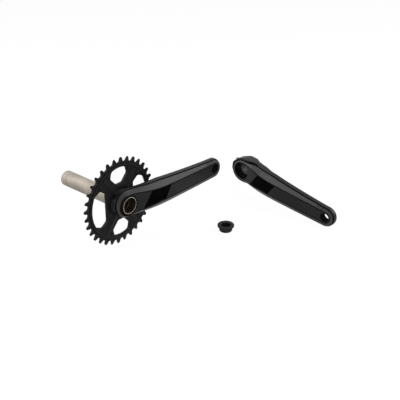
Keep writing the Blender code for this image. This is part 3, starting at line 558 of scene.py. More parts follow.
def buildRightArm():
    arm = buildArmBlank("right_arm_forging", clamped=False)
    depth, recess, edge, past = boss["recessDepth"], boss["recess"], boss["recessEdge"], boss["past"]
    # painted shade in the recess round the press ring
    recessTool = turnedTool("recess_tool", [
        (0.0, depth), (recess - edge, depth), (recess, depth - edge), (recess + boss["recessDraft"], -past),
        (0.0, -past),
    ], Matrix.Translation((boss["recessShift"], 0.0, 0.0)), finish=inShade)
    bore, mouth, end = boss["bore"], boss["bore"] + boss["boreEdge"], boss["end"]
    press, lip = boss["press"], boss["press"] + boss["lip"]
    boreTool = turnedTool("bore_tool", [
        (0.0, end + boss["clear"]), (mouth, end + boss["clear"]), (mouth, end),
        (bore, end - boss["boreEdge"]), (bore, boss["pressEnd"]),
        (press, boss["pressEnd"]), (press, depth + boss["lipStart"]),
        (lip, depth - boss["lipEnd"]), (lip, -past), (0.0, -past),
    ])
    carve(arm, [(bossTool(), "UNION"), (recessTool, "DIFFERENCE"), (boreTool, "DIFFERENCE"),
                (pocketTool(), "DIFFERENCE"), (pedalTool(1), "DIFFERENCE")], driveFrame)
    finishPiece(arm, "drive_side", ["right_crank_arm"])


# left arm: split clamp with two lugs, seats for the bolts and a splined bore

clamp = {
    "wall": 17.0, "start": 7.75, "end": 27.0, "endRound": [(0.0, 0.8), (0.2, 0.25), (0.8, 0.0)],
    "mouth": 14.7, "mouthDepth": 0.35, "seat": 13.9, "seatDepth": 4.6, "seatEdge": 0.3, "bore": 12.3,
    "boreStep": 0.5, "splines": 24, "splineDepth": 0.6, "splineBlur": 0.25, "splineLead": 0.6, "bare": 14.5,
    "splineEnd": 18.0, "splineRunOut": 0.4, "boreEnd": 12.06, "boreEdge": 0.2, "boreShadeBands": 7,
    "lugReach": 23.0, "lugRoot": 3.1, "lugHalf": 11.4, "lugStart": 4.3, "lugEnd": 26.0, "lugRound": 8.4,
    "lugEdge": 0.8, "slit": 2.4, "boltAside": 17.1, "boltPlaces": {"outer": (10.5, 1), "inner": (21.0, -1)},
    "boltSeat": 4.95, "boltSeatFlare": 0.4, "boltSeatWall": 3.0, "seatHeight": 6.5, "boltHole": 2.8,
    "holeEdge": 0.3, "past": 18.0, "clear": 1.0, "count": 192,
}


# a box; rounding is for its edges along Y, and edge for the rims of its two ends
def boxTool(name, low, high, rounding=0.0, edge=0.0):
    bm = bmesh.new()
    low, high = Vector(low), Vector(high)
    size = Matrix.Diagonal(high - low).to_4x4()
    bmesh.ops.create_cube(bm, size=1.0, matrix=Matrix.Translation((low + high) / 2) @ size)
    for offset, segments, isAlong in ((rounding, 10, True), (edge, 3, False)):
        if offset:
            edges = [e for e in bm.edges if (abs(e.verts[0].co.y - e.verts[1].co.y) > 0.1) == isAlong]
            bmesh.ops.bevel(bm, geom=edges, offset=offset, segments=segments, profile=0.5, affect="EDGES",
                            material=-1)
    return toObject(name, bm, [])


def clampBarrel():
    profile = [(clamp["wall"], clamp["start"])]
    profile += [(clamp["wall"] - inward, clamp["end"] - before) for inward, before in clamp["endRound"]]
    return skinnedTool("barrel_tool", roundRows(profile, clamp["count"]))


# the bore: seat for the cap's flange, then splines that grip the spindle, then a plain end
def clampBore():
    spline = splineRadius(clamp["bore"], clamp["splineDepth"], clamp["splines"], clamp["splineBlur"])
    mouth, seat, depth, edge = clamp["mouth"], clamp["seat"], clamp["seatDepth"], clamp["seatEdge"]
    end, splineEnd, boreEnd = clamp["end"], clamp["splineEnd"], clamp["boreEnd"]
    boreMouth = boreEnd + clamp["boreEdge"]
    profile = [
        (mouth, -clamp["past"]), (mouth, 0.0), (seat, clamp["mouthDepth"]), (seat, depth - edge),
        (seat - edge, depth), (clamp["bore"] + clamp["boreStep"], depth),
        (spline, depth + clamp["splineLead"]), (spline, clamp["bare"]), (spline, splineEnd),
        (boreEnd, splineEnd + clamp["splineRunOut"]),
        (boreEnd, end - clamp["boreEdge"]), (boreMouth, end), (boreMouth, end + 2 * clamp["clear"]),
    ]
    # painted shade at the seat and the first splines; beyond them the machined finish darkened as painted
    # shade
    return skinnedTool("clamp_bore_tool", roundRows(profile, clamp["count"]), darkenedMachining,
                       clamp["boreShadeBands"], inShade)


# frame of a bolt in the left arm's: Y along its shank towards the head
def boltFrame(place, side):
    turn = Matrix.Rotation(math.pi / 2 * side, 4, "X")
    return Matrix.Translation((-clamp["boltAside"], place, 0.0)) @ turn


def buildLeftArm():
    arm = buildArmBlank("left_arm_forging", clamped=True)
    lugHalf, slitHalf, clear = clamp["lugHalf"], clamp["slit"] / 2, clamp["clear"]
    lug = boxTool("lug_tool", (-clamp["lugReach"], clamp["lugStart"], -lugHalf),
                  (clamp["lugRoot"], clamp["lugEnd"], lugHalf), clamp["lugRound"], clamp["lugEdge"])
    slit = boxTool("slit_tool", (-clamp["lugReach"] - 2 * clear, clamp["lugStart"] / 2, -slitHalf),
                   (clear - clamp["bore"], clamp["end"] + clear, slitHalf))
    steps = [(clampBarrel(), "UNION"), (lug, "UNION"), (clampBore(), "DIFFERENCE"), (slit, "DIFFERENCE")]
    high, low = 2 * lugHalf, -lugHalf - clear
    seat, hole, ledge, edge = clamp["boltSeat"], clamp["boltHole"], clamp["seatHeight"], clamp["holeEdge"]
    profile = [(0.0, high), (seat + clamp["boltSeatFlare"], high), (seat, ledge + clamp["boltSeatWall"]),
               (seat, ledge), (hole + edge, ledge), (hole, ledge - edge), (hole, low), (0.0, low)]
    for place, side in clamp["boltPlaces"].values():
        # bolt seats in the machined finish darkened as painted shade
        tool = turnedTool("bolt_seat_tool", profile, boltFrame(place, side), 64, darkenedMachining)
        steps.append((tool, "DIFFERENCE"))
    steps += [(pocketTool(), "DIFFERENCE"), (pedalTool(-1), "DIFFERENCE")]
    carve(arm, steps, leftFrame)
    finishPiece(arm, "left_arm", ["left_crank_arm"])


buildRightArm()
buildLeftArm()


# spindle: hollow tube pressed into the drive-side arm, with splines and a cap thread at its free end

tube = {
    "radius": 12.0, "wall": 1.6, "press": 13.4, "pressEnd": 13.0, "pressWall": 1.8, "pressEdge": (0.05, 0.15),
    "proud": 0.5, "lip": 0.45, "end": 139.5, "chamfer": 1.0, "endDrop": 0.35, "boreEdge": 0.5,
    "splines": 24, "splineDepth": 0.4, "splineBlur": 0.4, "splineLength": 12.0, "splineLead": (0.2, 1.0),
    "relief": 0.35, "reliefWidth": 1.4, "reliefEdge": 0.3,
    "seatStart": 27.0, "seatLength": 16.0, "seatRaise": 0.08, "seatEdge": 0.4,
    "thread": 0.35, "threadPitch": 1.0, "threadLength": 8.0, "count": 192,
}


def buildSpindle():
    radius, press, pressEnd, end = tube["radius"], tube["press"], tube["pressEnd"], tube["end"]
    bore = radius - tube["wall"]
    wide = press - tube["pressWall"]
    body = radius - tube["seatRaise"]  # between the bearing seats
    relief = radius - tube["relief"]
    spline = splineRadius(radius, tube["splineDepth"], tube["splines"], tube["splineBlur"])
    splineStart = end - tube["splineLength"]
    reliefEnd = splineStart - tube["reliefWidth"]
    nearSeat = tube["seatStart"] + tube["seatLength"]
    farSeat = reliefEnd - tube["seatLength"]
    threadStart = end - tube["threadLength"]
    pressIn, pressBehind = tube["pressEdge"]
    leadStart, leadEnd = tube["splineLead"]
    profile = [
        (wide + tube["lip"], -tube["proud"]), (press - tube["lip"], -tube["proud"]), (press - pressIn, 0.0),
        (press, pressBehind), (press, pressEnd), (radius, pressEnd),
        (radius, nearSeat), (body, nearSeat + tube["seatEdge"]), (body, farSeat - tube["seatEdge"]),
        (radius, farSeat), (radius, reliefEnd - tube["reliefEdge"]), (relief, reliefEnd),
        (relief, splineStart - tube["reliefEdge"]), (radius, splineStart), (radius, splineStart + leadStart),
        (spline, splineStart + leadEnd), (spline, end - tube["chamfer"]),
        (radius - tube["splineDepth"] - tube["endDrop"], end), (bore + tube["boreEdge"], end),
    ]
    tubeOutside = len(profile)
    inside = threadProfile(threadStart, end - tube["boreEdge"], bore + tube["thread"], tube["thread"],
                           tube["threadPitch"])
    profile += inside[::-1]
    profile += [(bore, threadStart - tube["boreEdge"]), (bore, pressEnd),
                (wide, pressEnd - tube["pressWall"]), (wide, 0.0)]
    bm = bmesh.new()
    bands = skinRows(bm, roundRows(profile, tube["count"]), "joined")[1]
    finishes = [nickel, darkSteelAndShade]
    # painted shade on the press ring's outer wall, and the darker steel colour inside the tube
    for band in bands[1:4] + bands[tubeOutside:]:  # only the ring's end is plated at the head
        paintFaces(band, finishes.index(darkSteelAndShade))
    piece = toObject("spindle_tube", bm, finishes, driveFrame)
    finishPiece(piece, "drive_side", ["spindle"])


buildSpindle()


# chainring: carrier with ribbed arms and raised rim, riveted to a ring of narrow and wide teeth

ring = {
    "place": 21.5, "gap": 0.3, "teeth": 32, "pitch": 12.7, "roller": 3.85, "toothHeight": 3.4, "plate": 3.4,
    "wideTip": 2.4, "narrowTip": 1.2, "tipShare": 0.11, "flankShare": 0.2, "crownShares": (0.085, 0.03),
    "seatSteps": 9, "flankSteps": 6, "flankCurve": 1.5, "crown": 0.35, "crownCurve": 4, "rootLand": 0.4,
    "rimToRoot": 2.4, "rimWidth": 4.4, "lap": 8.0, "lapEdge": 0.4, "stepEdge": 0.3,
}
# across the blade from its land to its outline: share of the way, and how far the side is eased in
bladeLevels = [(0.0, 0.0), (0.55, 0.0), (0.93, 0.0), (1.0, 0.3)]
carrier = {
    "thickness": 4.4, "hub": 27.2, "edge": 0.5, "rimRaise": 0.5, "rimFoot": 0.1,
    "hubRaise": 0.5, "hubEdge": 0.5,
    "rimOutside": [(0.0, 0.6), (0.15, 0.2), (0.5, 0.0)],  # how far in, and behind the rim's face
    "rimInside": [(0.9, 0.0), (0.5, 0.15)],  # how far out, and behind the rim's face
    "hubStep": [(1.0, 0.0), (0.2, 0.4), (-0.4, 0.5)],  # how far out, and before the carrier's face
    "armAngle": 55.5, "ribHalf": 6.5, "ribTip": 3.6, "ribHeight": 2.4, "ribStart": 20.1, "ribShort": 1.0,
    "ribRound": 0.8, "fillet": 5.0, "rimFillet": 8.0, "rimCorner": 12.4, "filletSteps": 7, "filletRoom": 0.45,
    "rimSteps": 7, "chamfer": 0.6, "pastFront": 5.0, "pastBack": 3.0, "steps": 256,
}
# windows between the arms: degrees to each side of their middle, and millimetres from the rim and the hub
shortWindow = {"rim": 15.0, "waist": 22.0, "foot": 11.5, "waistInset": 10.0, "footRise": 2.5}
longWindow = {"rim": 26.5, "waist": 38.5, "foot": 39.2, "waistInset": 6.7, "footRise": 7.5}
windows = [(90.0, shortWindow), (0.0, longWindow), (270.0, shortWindow), (180.0, longWindow)]
rivet = {
    "spread": 11.5, "inset": 4.0, "radius": 1.7, "play": 0.15, "head": 2.7, "height": 0.7, "lip": 0.1,
    "edge": 0.12, "dome": [(0.0, 0.0), (0.35, 0.02), (0.7, 0.12), (0.9, 0.3)],  # share of the head, and drop
    "tailEdge": 0.25, "tailDish": [(0.4, 0.0), (0.25, 0.2), (0.0, 0.25)], "holeLength": 20.0, "holeSides": 24,
    "steps": 40,
}

pitchRadius = ring["pitch"] / (2 * math.sin(math.pi / ring["teeth"]))
rootRadius = pitchRadius - ring["roller"]
tipRadius = pitchRadius + ring["toothHeight"]
rimOuter = rootRadius - ring["rimToRoot"]
rimInner = rimOuter - ring["rimWidth"]
lapInner = rimInner - ring["lap"]
carrierFront = ring["place"] - carrier["thickness"] / 2
carrierBack = ring["place"] + carrier["thickness"] / 2
armAngles = [carrier["armAngle"], 180 - carrier["armAngle"], 180 + carrier["armAngle"], -carrier["armAngle"]]


def polar(radius, degrees):
    turn = math.radians(degrees)
    return Vector((radius * math.cos(turn), radius * math.sin(turn)))


rivetSpots = [polar(rimInner - rivet["inset"], angle + side * rivet["spread"])
              for angle in armAngles for side in (-1, 1)]


# outline of a window: an arc at the rim between two corners, then four more corners, all rounded
def windowOutline(middle, window):
    rimSteps, filletSteps = carrier["rimSteps"], carrier["filletSteps"]
    arcHalf = window["rim"] - math.degrees(carrier["rimCorner"] / rimInner)
    corners = [(polar(rimInner, middle - window["rim"]), carrier["rimFillet"])]
    for i in range(rimSteps + 1):
        corners.append((polar(rimInner, middle + arcHalf * (2 * i / rimSteps - 1)), 0.0))
    corners.append((polar(rimInner, middle + window["rim"]), carrier["rimFillet"]))
    waist, foot = rimInner - window["waistInset"], carrier["hub"] + window["footRise"]
    for radius, angle in ((waist, window["waist"]), (foot, window["foot"]),
                          (foot, -window["foot"]), (waist, -window["waist"])):
        corners.append((polar(radius, middle + angle), carrier["fillet"]))
    outline = []
    for i, (point, fillet) in enumerate(corners):
        if fillet == 0.0:
            outline.append(point)
            continue
        before = corners[i - 1][0] - point
        after = corners[(i + 1) % len(corners)][0] - point
        room = carrier["filletRoom"] * min(before.length, after.length)
        reach = min(fillet / math.tan(before.angle(after) / 2), room)
        start, end = point + before.normalized() * reach, point + after.normalized() * reach
        for step in range(filletSteps + 1):
            share = step / filletSteps
            outline.append(start.lerp(point, share).lerp(point.lerp(end, share), share))
    return outline


# the window's cutter flares at both faces, which leaves a chamfer round the opening
def windowTool(middle, window):
    outline = windowOutline(middle, window)
    centre = sum(outline, Vector((0.0, 0.0))) / len(outline)
    reach = sum((point - centre).length for point in outline) / len(outline)
    chamfer = carrier["chamfer"]
    flared = 1.0 + chamfer / reach
    sizes = [(flared, carrierFront - carrier["pastFront"]), (flared, carrierFront),
             (1.0, carrierFront + chamfer), (1.0, carrierBack - chamfer),
             (flared, carrierBack), (flared, carrierBack + carrier["pastBack"])]
    rows = []
    for size, along in sizes:
        rows.append([(centre.x + (p.x - centre.x) * size, along, centre.y + (p.y - centre.y) * size)
                     for p in outline])
    return skinnedTool("window_tool", rows)


def rivetHoleTool():
    bm = bmesh.new()
    radius = rivet["radius"] + rivet["play"]
    lay = Matrix.Rotation(math.pi / 2, 4, "X")
    for spot in rivetSpots:
        bmesh.ops.create_cone(bm, cap_ends=True, segments=rivet["holeSides"], radius1=radius, radius2=radius,
                              depth=rivet["holeLength"],
                              matrix=Matrix.Translation((spot.x, ring["place"], spot.y)) @ lay)
    return toObject("rivet_hole_tool", bm, [])


# what is cut alike from the carrier and from the ring behind it
def ringCuts():
    return [(windowTool(*window), "DIFFERENCE") for window in windows] + [(rivetHoleTool(), "DIFFERENCE")]


# a four-sided cone laid on each arm, its ridge rounded
def ribTool():
    bm = bmesh.new()
    half, start = carrier["ribHalf"], carrier["ribStart"]
    length = rimInner - start - carrier["ribShort"]
    for angle in armAngles:
        out = Matrix.Rotation(math.radians(90 - angle), 4, "Y")
        halfway = Matrix.Translation((0.0, 0.0, start + length / 2))
        flat = Matrix.Diagonal((1.0, carrier["ribHeight"] / half, 1.0, 1.0))
        placing = Matrix.Translation((0.0, carrierFront, 0.0)) @ out @ halfway @ flat
        bmesh.ops.create_cone(bm, cap_ends=True, segments=4, radius1=half, radius2=carrier["ribTip"],
                              depth=length, matrix=placing)
    ridges = [edge for edge in bm.edges if all(vert.co.y < carrierFront - 0.1 for vert in edge.verts)]
    bmesh.ops.bevel(bm, geom=ridges, offset=carrier["ribRound"], segments=5, profile=0.5, affect="EDGES",
                    material=-1)
    return toObject("rib_tool", bm, [])


def hubTool():
    edge = carrier["hubEdge"]
    inner, outer = bossSpline(ring["gap"]), bossSpline(ring["gap"] + edge)
    profile = [(outer, carrierFront - carrier["pastFront"]), (outer, carrierFront),
               (inner, carrierFront + edge), (inner, carrierBack - edge),
               (outer, carrierBack), (outer, carrierBack + carrier["pastBack"])]
    return skinnedTool("hub_tool", roundRows(profile, boss["count"]))


def buildCarrier():
    lapPlace = ring["place"] - ring["gap"] / 2
    rim = carrierFront - carrier["rimRaise"]
    bore = boss["spline"] - 2 * boss["splineDepth"]
    edge = carrier["edge"]
    profile = [(bore, carrierBack), (lapInner - edge, carrierBack), (lapInner, carrierBack - edge),
               (lapInner, lapPlace), (rimOuter, lapPlace)]
    profile += [(rimOuter - inward, rim + behind) for inward, behind in carrier["rimOutside"]]
    profile += [(rimInner + outward, rim + behind) for outward, behind in carrier["rimInside"]]
    profile.append((rimInner - carrier["rimFoot"], carrierFront))
    profile += [(carrier["hub"] + outward, carrierFront - before) for outward, before in carrier["hubStep"]]
    profile.append((bore, carrierFront - carrier["hubRaise"]))
    bm = bmesh.new()
    turnProfile(bm, profile, carrier["steps"], closed=True)
    piece = toObject("ring_carrier", bm, [anodised])
    carve(piece, [(ribTool(), "UNION"), (hubTool(), "DIFFERENCE")] + ringCuts(), driveFrame)
    finishPiece(piece, "drive_side", ["chainring_carrier"])


# where the points of one tooth lie across its pitch, closer together on the flanks
def toothShares():
    flankShare, tipShare = ring["flankShare"], ring["tipShare"]
    seatSteps, flankSteps = ring["seatSteps"], ring["flankSteps"]
    half = [-0.5 + (0.5 - flankShare) * i / seatSteps for i in range(seatSteps)]
    half += [-flankShare + (flankShare - tipShare) * i / flankSteps for i in range(flankSteps)]
    half += [-share for share in (tipShare, *ring["crownShares"])]
    return half + [-share for share in reversed(half[1:])]


# radius of the tooth's outline: round seat for the roller, then a curved flank up to a crown with rounded
# corners
def toothOutline(share):
    tipShare, pitchShare = ring["tipShare"], 0.5 - ring["roller"] / ring["pitch"]
    away = abs(share)
    if away >= pitchShare:
        fromSeat = (0.5 - away) * ring["pitch"]
        return pitchRadius - math.sqrt(max(ring["roller"] ** 2 - fromSeat ** 2, 0.0))
    if away <= tipShare:
        return tipRadius - ring["crown"] * (away / tipShare) ** ring["crownCurve"]
    climb = (away - tipShare) / (pitchShare - tipShare)
    return pitchRadius + (ring["toothHeight"] - ring["crown"]) * (1.0 - climb ** ring["flankCurve"])


def buildToothRing():
    shares = toothShares()
    points = []
    for tooth in range(ring["teeth"]):
        tip = ring["wideTip"] if tooth % 2 == 0 else ring["narrowTip"]
        for share in shares:
            points.append(((tooth + 0.5 + share) * math.tau / ring["teeth"], toothOutline(share), tip / 2))
    land = rootRadius - ring["rootLand"]
    half = ring["plate"] / 2

    # side is -1 at the front; reach runs from the land to the outline; the blade thins towards the tip
    def toothRow(side, reach, edge):
        row = []
        for turn, outline, tip in points:
            radius = land + (outline - land) * reach
            rise = min(max((radius - rootRadius) / (tipRadius - rootRadius), 0.0), 1.0)
            y = ring["place"] + side * (half - (half - tip) * rise - edge)
            row.append((radius * math.sin(turn), y, radius * math.cos(turn)))
        return row

    def plainRow(radius, along):
        return [(radius * math.sin(turn), along, radius * math.cos(turn)) for turn, outline, tip in points]

    back, front = ring["place"] + half, ring["place"] - half
    lapFront = ring["place"] + ring["gap"] / 2
    lapRadius, lapEdge = lapInner + ring["gap"], ring["lapEdge"]
    stepRadius, stepEdge = rimOuter + ring["gap"], ring["stepEdge"]
    rows = [
        plainRow(lapRadius + lapEdge, back), plainRow(lapRadius, back - lapEdge),
        plainRow(lapRadius, lapFront), plainRow(stepRadius, lapFront), plainRow(stepRadius, front + stepEdge),
        plainRow(stepRadius + stepEdge, front),
    ]
    rows += [toothRow(-1, reach, edge) for reach, edge in bladeLevels]
    rows += [toothRow(1, reach, edge) for reach, edge in reversed(bladeLevels)]
    bm = bmesh.new()
    skinRows(bm, rows, "joined")
    piece = toObject("tooth_ring", bm, [blackOxide])
    carve(piece, ringCuts(), driveFrame)
    finishPiece(piece, "drive_side", ["chainring_tooth_ring"])


def buildRivets():
    shank, head, lip, edge = rivet["radius"], rivet["head"], rivet["lip"], rivet["edge"]
    under = carrierFront - ring["gap"]
    tail = ring["place"] + ring["plate"] / 2 + ring["gap"]
    tailEnd = tail + rivet["height"]
    profile = [(head * share, under - rivet["height"] + drop) for share, drop in rivet["dome"]]
    profile += [
        (head, under - edge), (head - lip, under), (shank, under), (shank, tail), (head - lip, tail),
        (head, tail + edge), (head, tailEnd - rivet["tailEdge"]), (head - rivet["tailEdge"], tailEnd),
    ]
    profile += [(head * share, tailEnd - dish) for share, dish in rivet["tailDish"]]
    for number, spot in enumerate(rivetSpots, start=1):
        bm = bmesh.new()
        turnProfile(bm, profile, rivet["steps"], closed=False)
        placing = driveFrame @ Matrix.Translation((spot.x, 0.0, spot.y))
        piece = toObject(f"rivet_{number}", bm, [blackOxide], placing)
        finishPiece(piece, "drive_side", [f"chainring_rivet_{number}"])


buildCarrier()
buildToothRing()
buildRivets()


# lockring behind the chainring, with round tool notches

lock = {"thickness": 2.6, "width": 5.6, "notches": 12, "notch": 1.6, "edge": 0.4, "land": 2.6, "sink": 0.4,
        "boreEdge": 0.5, "count": 288}


def notchedRadius(outer, shrink):
    def radius(turn):
        pitch = math.tau / lock["notches"]
        away = abs((turn + pitch / 2) % pitch - pitch / 2) * outer
        if away >= lock["notch"]:
            return outer - shrink
        return outer - max(math.sqrt(lock["notch"] ** 2 - away ** 2), shrink)
    return radius


def buildLockring():
    edge, sink, boreEdge = lock["edge"], lock["sink"], lock["boreEdge"]
    front = carrierBack + ring["gap"]
    back = front + lock["thickness"]
    inner = boss["thread"] + ring["gap"]
    outer = inner + lock["width"]
    full, eased = notchedRadius(outer, 0.0), notchedRadius(outer, edge)
    land = outer - lock["land"]
    profile = [
        (inner + edge, front), (eased, front), (full, front + edge), (full, back - edge), (eased, back),
        (land, back), (land - sink, back - sink), (inner + boreEdge, back - sink),
        (inner, back - sink - boreEdge), (inner, front + edge),
    ]
    bm = bmesh.new()
    skinRows(bm, roundRows(profile, lock["count"]), "joined")
    piece = toObject("lockring", bm, [zinc], driveFrame)
    finishPiece(piece, "drive_side", ["chainring_lockring"])


buildLockring()


# clamp bolts, their washers and the stopper plate

bolt = {
    "radius": 2.5, "end": -9.5, "endEdge": (0.6, 0.4), "thread": 0.32, "pitch": 0.8, "perPitch": 4,
    "threadTop": 1.0, "runOut": 0.5, "neck": 0.2, "head": 4.25, "headHeight": 4.5, "headEdge": 0.2,
    "knurls": 32, "knurl": 0.12, "knurlStart": 0.5, "knurlEnd": 0.9,
    "crown": [(0.02, 0.6), (0.25, 0.15), (0.6, 0.0)],  # how far in, and below the top
    "socket": 2.4, "socketDepth": 3.0, "socketEdge": (0.35, 0.3), "drillDepth": 0.5, "drillShare": 0.3,
    "seat": 6.8, "gap": 0.3, "washer": 1.0, "washerRadius": 4.65, "washerEdge": 0.18, "washerSteps": 72,
    "count": 96,
}


def hexRadius(corner):
    return lambda turn: corner * math.cos(math.pi / 6) / math.cos((turn % (math.pi / 3)) - math.pi / 6)


def knurlRadius(radius):
    return lambda turn: radius - bolt["knurl"] * (0.5 - 0.5 * math.cos(turn * bolt["knurls"]))


def buildBolt(name, place, side):
    radius, head, neck, edge = bolt["radius"], bolt["head"], bolt["neck"], bolt["headEdge"]
    under = bolt["seat"] + bolt["washer"] + bolt["gap"]
    top = under + bolt["headHeight"]
    socket, floor = bolt["socket"], top - bolt["socketDepth"]
    endIn, endLength = bolt["endEdge"]
    socketOut, socketDrop = bolt["socketEdge"]
    profile = [(radius - endIn, bolt["end"])]
    profile += threadProfile(bolt["end"] + endLength, bolt["threadTop"], radius, bolt["thread"],
                             bolt["pitch"], perPitch=bolt["perPitch"])
    profile += [
        (radius, bolt["threadTop"] + bolt["runOut"]), (radius, under - neck), (radius + neck, under),
        (head - edge, under), (head, under + edge), (knurlRadius(head), under + bolt["knurlStart"]),
        (knurlRadius(head), top - bolt["knurlEnd"]),
    ]
    profile += [(head - inward, top - below) for inward, below in bolt["crown"]]
    profile += [(socket + socketOut, top), (hexRadius(socket), top - socketDrop), (hexRadius(socket), floor),
                (socket * bolt["drillShare"], floor - bolt["drillDepth"])]
    bm = bmesh.new()
    skinRows(bm, roundRows(profile, bolt["count"]), "filled")
    piece = toObject(f"{name}_clamp_bolt", bm, [zinc], leftFrame @ boltFrame(place, side))
    finishPiece(piece, f"{name}_bolt", [f"{name}_pinch_bolt"])


def buildWasher(name, place, side):
    low, high = bolt["seat"], bolt["seat"] + bolt["washer"]
    outer, inner, edge = bolt["washerRadius"], clamp["boltHole"], bolt["washerEdge"]
    profile = [(inner + edge, low), (outer - edge, low), (outer, low + edge), (outer, high - edge),
               (outer - edge, high), (inner + edge, high), (inner, high - edge), (inner, low + edge)]
    bm = bmesh.new()
    turnProfile(bm, profile, bolt["washerSteps"], closed=True)
    piece = toObject(f"{name}_clamp_washer", bm, [zinc], leftFrame @ boltFrame(place, side))
    finishPiece(piece, f"{name}_washer", [f"{name}_pinch_washer"])


stopper = {"thickness": 1.6, "eyeWall": 1.5, "eyeStart": -60.0, "eyeTurn": 240.0, "arc": 24, "strip": 3.0,
           "nib": 2.2, "nibReach": 1.6, "edge": 0.2, "past": 3.0, "holeSteps": 64}


def buildStopper():
    hole, past = clamp["boltHole"], stopper["past"]
    eye = hole + stopper["eyeWall"]
    outerBolt, innerBolt = (clamp["boltPlaces"][name][0] for name in ("outer", "inner"))
    stripIn = -hole - bolt["gap"]
    stripOut = stripIn - stopper["strip"]
    nibNear = outerBolt - innerBolt - hole - bolt["gap"]
    nibFar = nibNear - stopper["nib"]
    nibEnd = clamp["boltAside"] - clamp["bore"] + stopper["nibReach"]
    outline = []
    for i in range(stopper["arc"] + 1):
        outline.append(polar(eye, stopper["eyeStart"] + stopper["eyeTurn"] * i / stopper["arc"]))
    outline += [Vector(point) for point in ((stripOut, -eye), (stripOut, nibFar), (nibEnd, nibFar),
                                            (nibEnd, nibNear), (stripIn, nibNear), (stripIn, -eye))]
    bm = bmesh.new()
    half = stopper["thickness"] / 2
    face = bm.faces.new([bm.verts.new((point.x, point.y, -half)) for point in outline])
    raised = bmesh.ops.extrude_face_region(bm, geom=[face])["geom"]
    bmesh.ops.translate(bm, verts=[item for item in raised if isinstance(item, bmesh.types.BMVert)],
                        vec=(0.0, 0.0, 2 * half))
    rims = [edge for edge in bm.edges if abs(edge.verts[0].co.z - edge.verts[1].co.z) < half]
    bmesh.ops.bevel(bm, geom=rims, offset=stopper["edge"], segments=3, profile=0.5, affect="EDGES",
                    material=-1)
    piece = toObject("clamp_stopper", bm, [nylon])
    drill = turnedTool("eye_tool", [(0.0, past), (hole, past), (hole, -past), (0.0, -past)],
                       Matrix.Rotation(math.pi / 2, 4, "X"), stopper["holeSteps"])
    placing = leftFrame @ Matrix.Translation((-clamp["boltAside"], innerBolt, 0.0))
    carve(piece, [(drill, "DIFFERENCE")], placing)
    finishPiece(piece, "stopper", ["stopper_plate"])


for boltName, (boltPlace, boltSide) in clamp["boltPlaces"].items():
    buildBolt(boltName, boltPlace, boltSide)
    buildWasher(boltName, boltPlace, boltSide)
buildStopper()


# preload cap, standing on the floor on its threaded body

cap = {
    "ahead": 128.8, "aside": -148.0, "body": 5.2, "bodyRadius": 10.1, "footShare": 0.6, "thread": 0.3,
    "threadPitch": 1.0, "threadStart": 0.8, "threadEnd": 0.7, "groove": 0.35, "cone": 2.1,
    "coneEdge": (0.2, 0.3), "flange": 12.9, "flangeHeight": 2.6, "edge": 0.65, "edgeShare": 0.3,
    "dish": 0.35, "dishLand": 1.2, "socket": 8.1, "socketDepth": 6.5, "socketEdge": 0.5,
    "lobe": 1.2, "lobes": 8, "lobeBlur": 0.35, "count": 192,
}


def buildCap():
    edge, body, flange, socket = cap["edge"], cap["bodyRadius"], cap["flange"], cap["socket"]
    groove = body - cap["thread"]
    coneTop = cap["body"] + cap["cone"]
    coneBelow, coneAbove = cap["coneEdge"]
    top = coneTop + cap["flangeHeight"]
    dish = top - cap["dish"]
    small = edge * cap["edgeShare"]
    star, starMouth = (splineRadius(socket + grow, cap["lobe"], cap["lobes"], cap["lobeBlur"])
                       for grow in (0.0, cap["socketEdge"]))
    profile = [(body - edge, 0.0), (groove, edge * cap["footShare"])]
    profile += threadProfile(cap["threadStart"], cap["body"] - cap["threadEnd"], body, cap["thread"],
                             cap["threadPitch"])
    profile += [
        (groove, cap["body"] - cap["groove"]), (body, cap["body"]), (flange - coneBelow, coneTop - coneBelow),
        (flange, coneTop + coneAbove), (flange, top - edge), (flange - small, top - small),
        (flange - edge, top), (socket + cap["dishLand"], dish), (starMouth, dish),
        (star, dish - cap["socketEdge"]),
        (star, top - cap["socketDepth"]),
    ]
    bm = bmesh.new()
    skinRows(bm, roundRows(profile, cap["count"]), "filled")
    standing = toMetres @ Matrix.Translation((cap["ahead"], cap["aside"], floorHeight))
    piece = toObject("preload_cap_moulding", bm, [nylon], standing @ Matrix.Rotation(math.pi / 2, 4, "X"))
    finishPiece(piece, "cap", ["preload_cap"])


buildCap()


# floor and world: white to the camera and to mirror-like metal, while the floor keeps a soft shadow

stage = {"paper": "#f2f2f0", "floorShare": 0.96, "skyLight": 0.1, "size": 12.0, "drop": 0.0002}


def seenDirectly(tree):
    path = addNode(tree, "ShaderNodeLightPath")
    first = addNode(tree, "ShaderNodeMath", {"operation": "MAXIMUM"},
                    {0: path.outputs["Is Camera Ray"], 1: path.outputs["Is Glossy Ray"]})
    return addNode(tree, "ShaderNodeMath", {"operation": "MAXIMUM"},
                   {0: first.outputs["Value"], 1: path.outputs["Is Transmission Ray"]}).outputs["Value"]


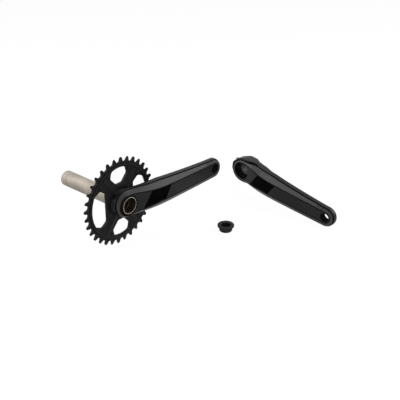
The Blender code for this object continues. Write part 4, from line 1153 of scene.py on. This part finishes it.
def buildStage():
    bm = bmesh.new()
    bmesh.ops.create_grid(bm, x_segments=1, y_segments=1, size=stage["size"] / 2)
    drop = Matrix.Translation((0.0, 0.0, cadBox[0][2] - stage["drop"]))
    paper = bpy.data.materials.new("white_paper_floor")
    paper.use_nodes = True
    tree = paper.node_tree
    tree.nodes.clear()
    diffuse = addNode(tree, "ShaderNodeBsdfDiffuse", {"Color": hexColour(stage["paper"])})
    glow = addNode(tree, "ShaderNodeEmission", {"Strength": 1.0})
    share = addNode(tree, "ShaderNodeMath", {"operation": "MULTIPLY", 1: stage["floorShare"]},
                    {0: seenDirectly(tree)})
    mixed = addNode(tree, "ShaderNodeMixShader", links={0: share.outputs["Value"], 1: diffuse.outputs["BSDF"],
                                                        2: glow.outputs["Emission"]})
    addNode(tree, "ShaderNodeOutputMaterial", links={"Surface": mixed.outputs["Shader"]})
    toObject("floor", bm, [paper], drop, turnOut=False)

    world = bpy.data.worlds.new("studio")
    scene.world = world
    world.use_nodes = True
    tree = world.node_tree
    tree.nodes.clear()
    soft = addNode(tree, "ShaderNodeBackground", {"Color": (1, 1, 1, 1), "Strength": stage["skyLight"]})
    white = addNode(tree, "ShaderNodeBackground", {"Color": (1, 1, 1, 1), "Strength": 1.0})
    mixed = addNode(tree, "ShaderNodeMixShader", links={0: seenDirectly(tree), 1: soft.outputs["Background"],
                                                        2: white.outputs["Background"]})
    addNode(tree, "ShaderNodeOutputWorld", links={"Surface": mixed.outputs["Shader"]})


# soft boxes: name, place in metres, size in metres, watts
lamps = [
    ("front_right_softbox", (1.1, -0.9, 0.95), 1.5, 34.0),
    ("front_left_softbox", (-0.75, -1.25, 0.55), 1.0, 14.0),
    ("back_left_softbox", (-0.62, 0.78, 0.88), 1.2, 26.0),
]
lampAim = Vector((0.12, -0.1, -0.03))


def buildLamps():
    for name, place, size, power in lamps:
        light = bpy.data.lights.new(name, "AREA")
        light.size = size
        light.energy = power
        lamp = bpy.data.objects.new(name, light)
        scene.collection.objects.link(lamp)
        lamp.location = place
        lamp.rotation_euler = (lampAim - Vector(place)).to_track_quat("-Z", "Y").to_euler()


# camera: turned about the chainring's middle, then moved across the view; the focal length is in image pixels
shot = {"azimuth": -48.82, "elevation": 27.61, "distance": 1132.6, "aim": (0.0, -52.0, 0.0), "right": 117.5,
        "up": 1.43, "focal": 776.3, "imageWidth": 400, "sensor": 36.0, "clipStart": 0.05}


def buildCamera():
    camera = bpy.data.cameras.new("photo_camera")
    camera.sensor_width = shot["sensor"]
    camera.lens = shot["sensor"] * shot["focal"] / shot["imageWidth"]
    camera.clip_start = shot["clipStart"]
    holder = bpy.data.objects.new("photo_camera", camera)
    scene.collection.objects.link(holder)
    turn = (Matrix.Rotation(math.radians(shot["azimuth"]), 4, "Z")
            @ Matrix.Rotation(math.radians(90.0 - shot["elevation"]), 4, "X"))
    offset = Matrix.Translation((shot["right"] * mm, shot["up"] * mm, shot["distance"] * mm))
    holder.matrix_world = Matrix.Translation(Vector(shot["aim"]) * mm) @ turn @ offset
    scene.camera = holder


buildStage()
buildLamps()
buildCamera()
print("stage, lamps and camera set")
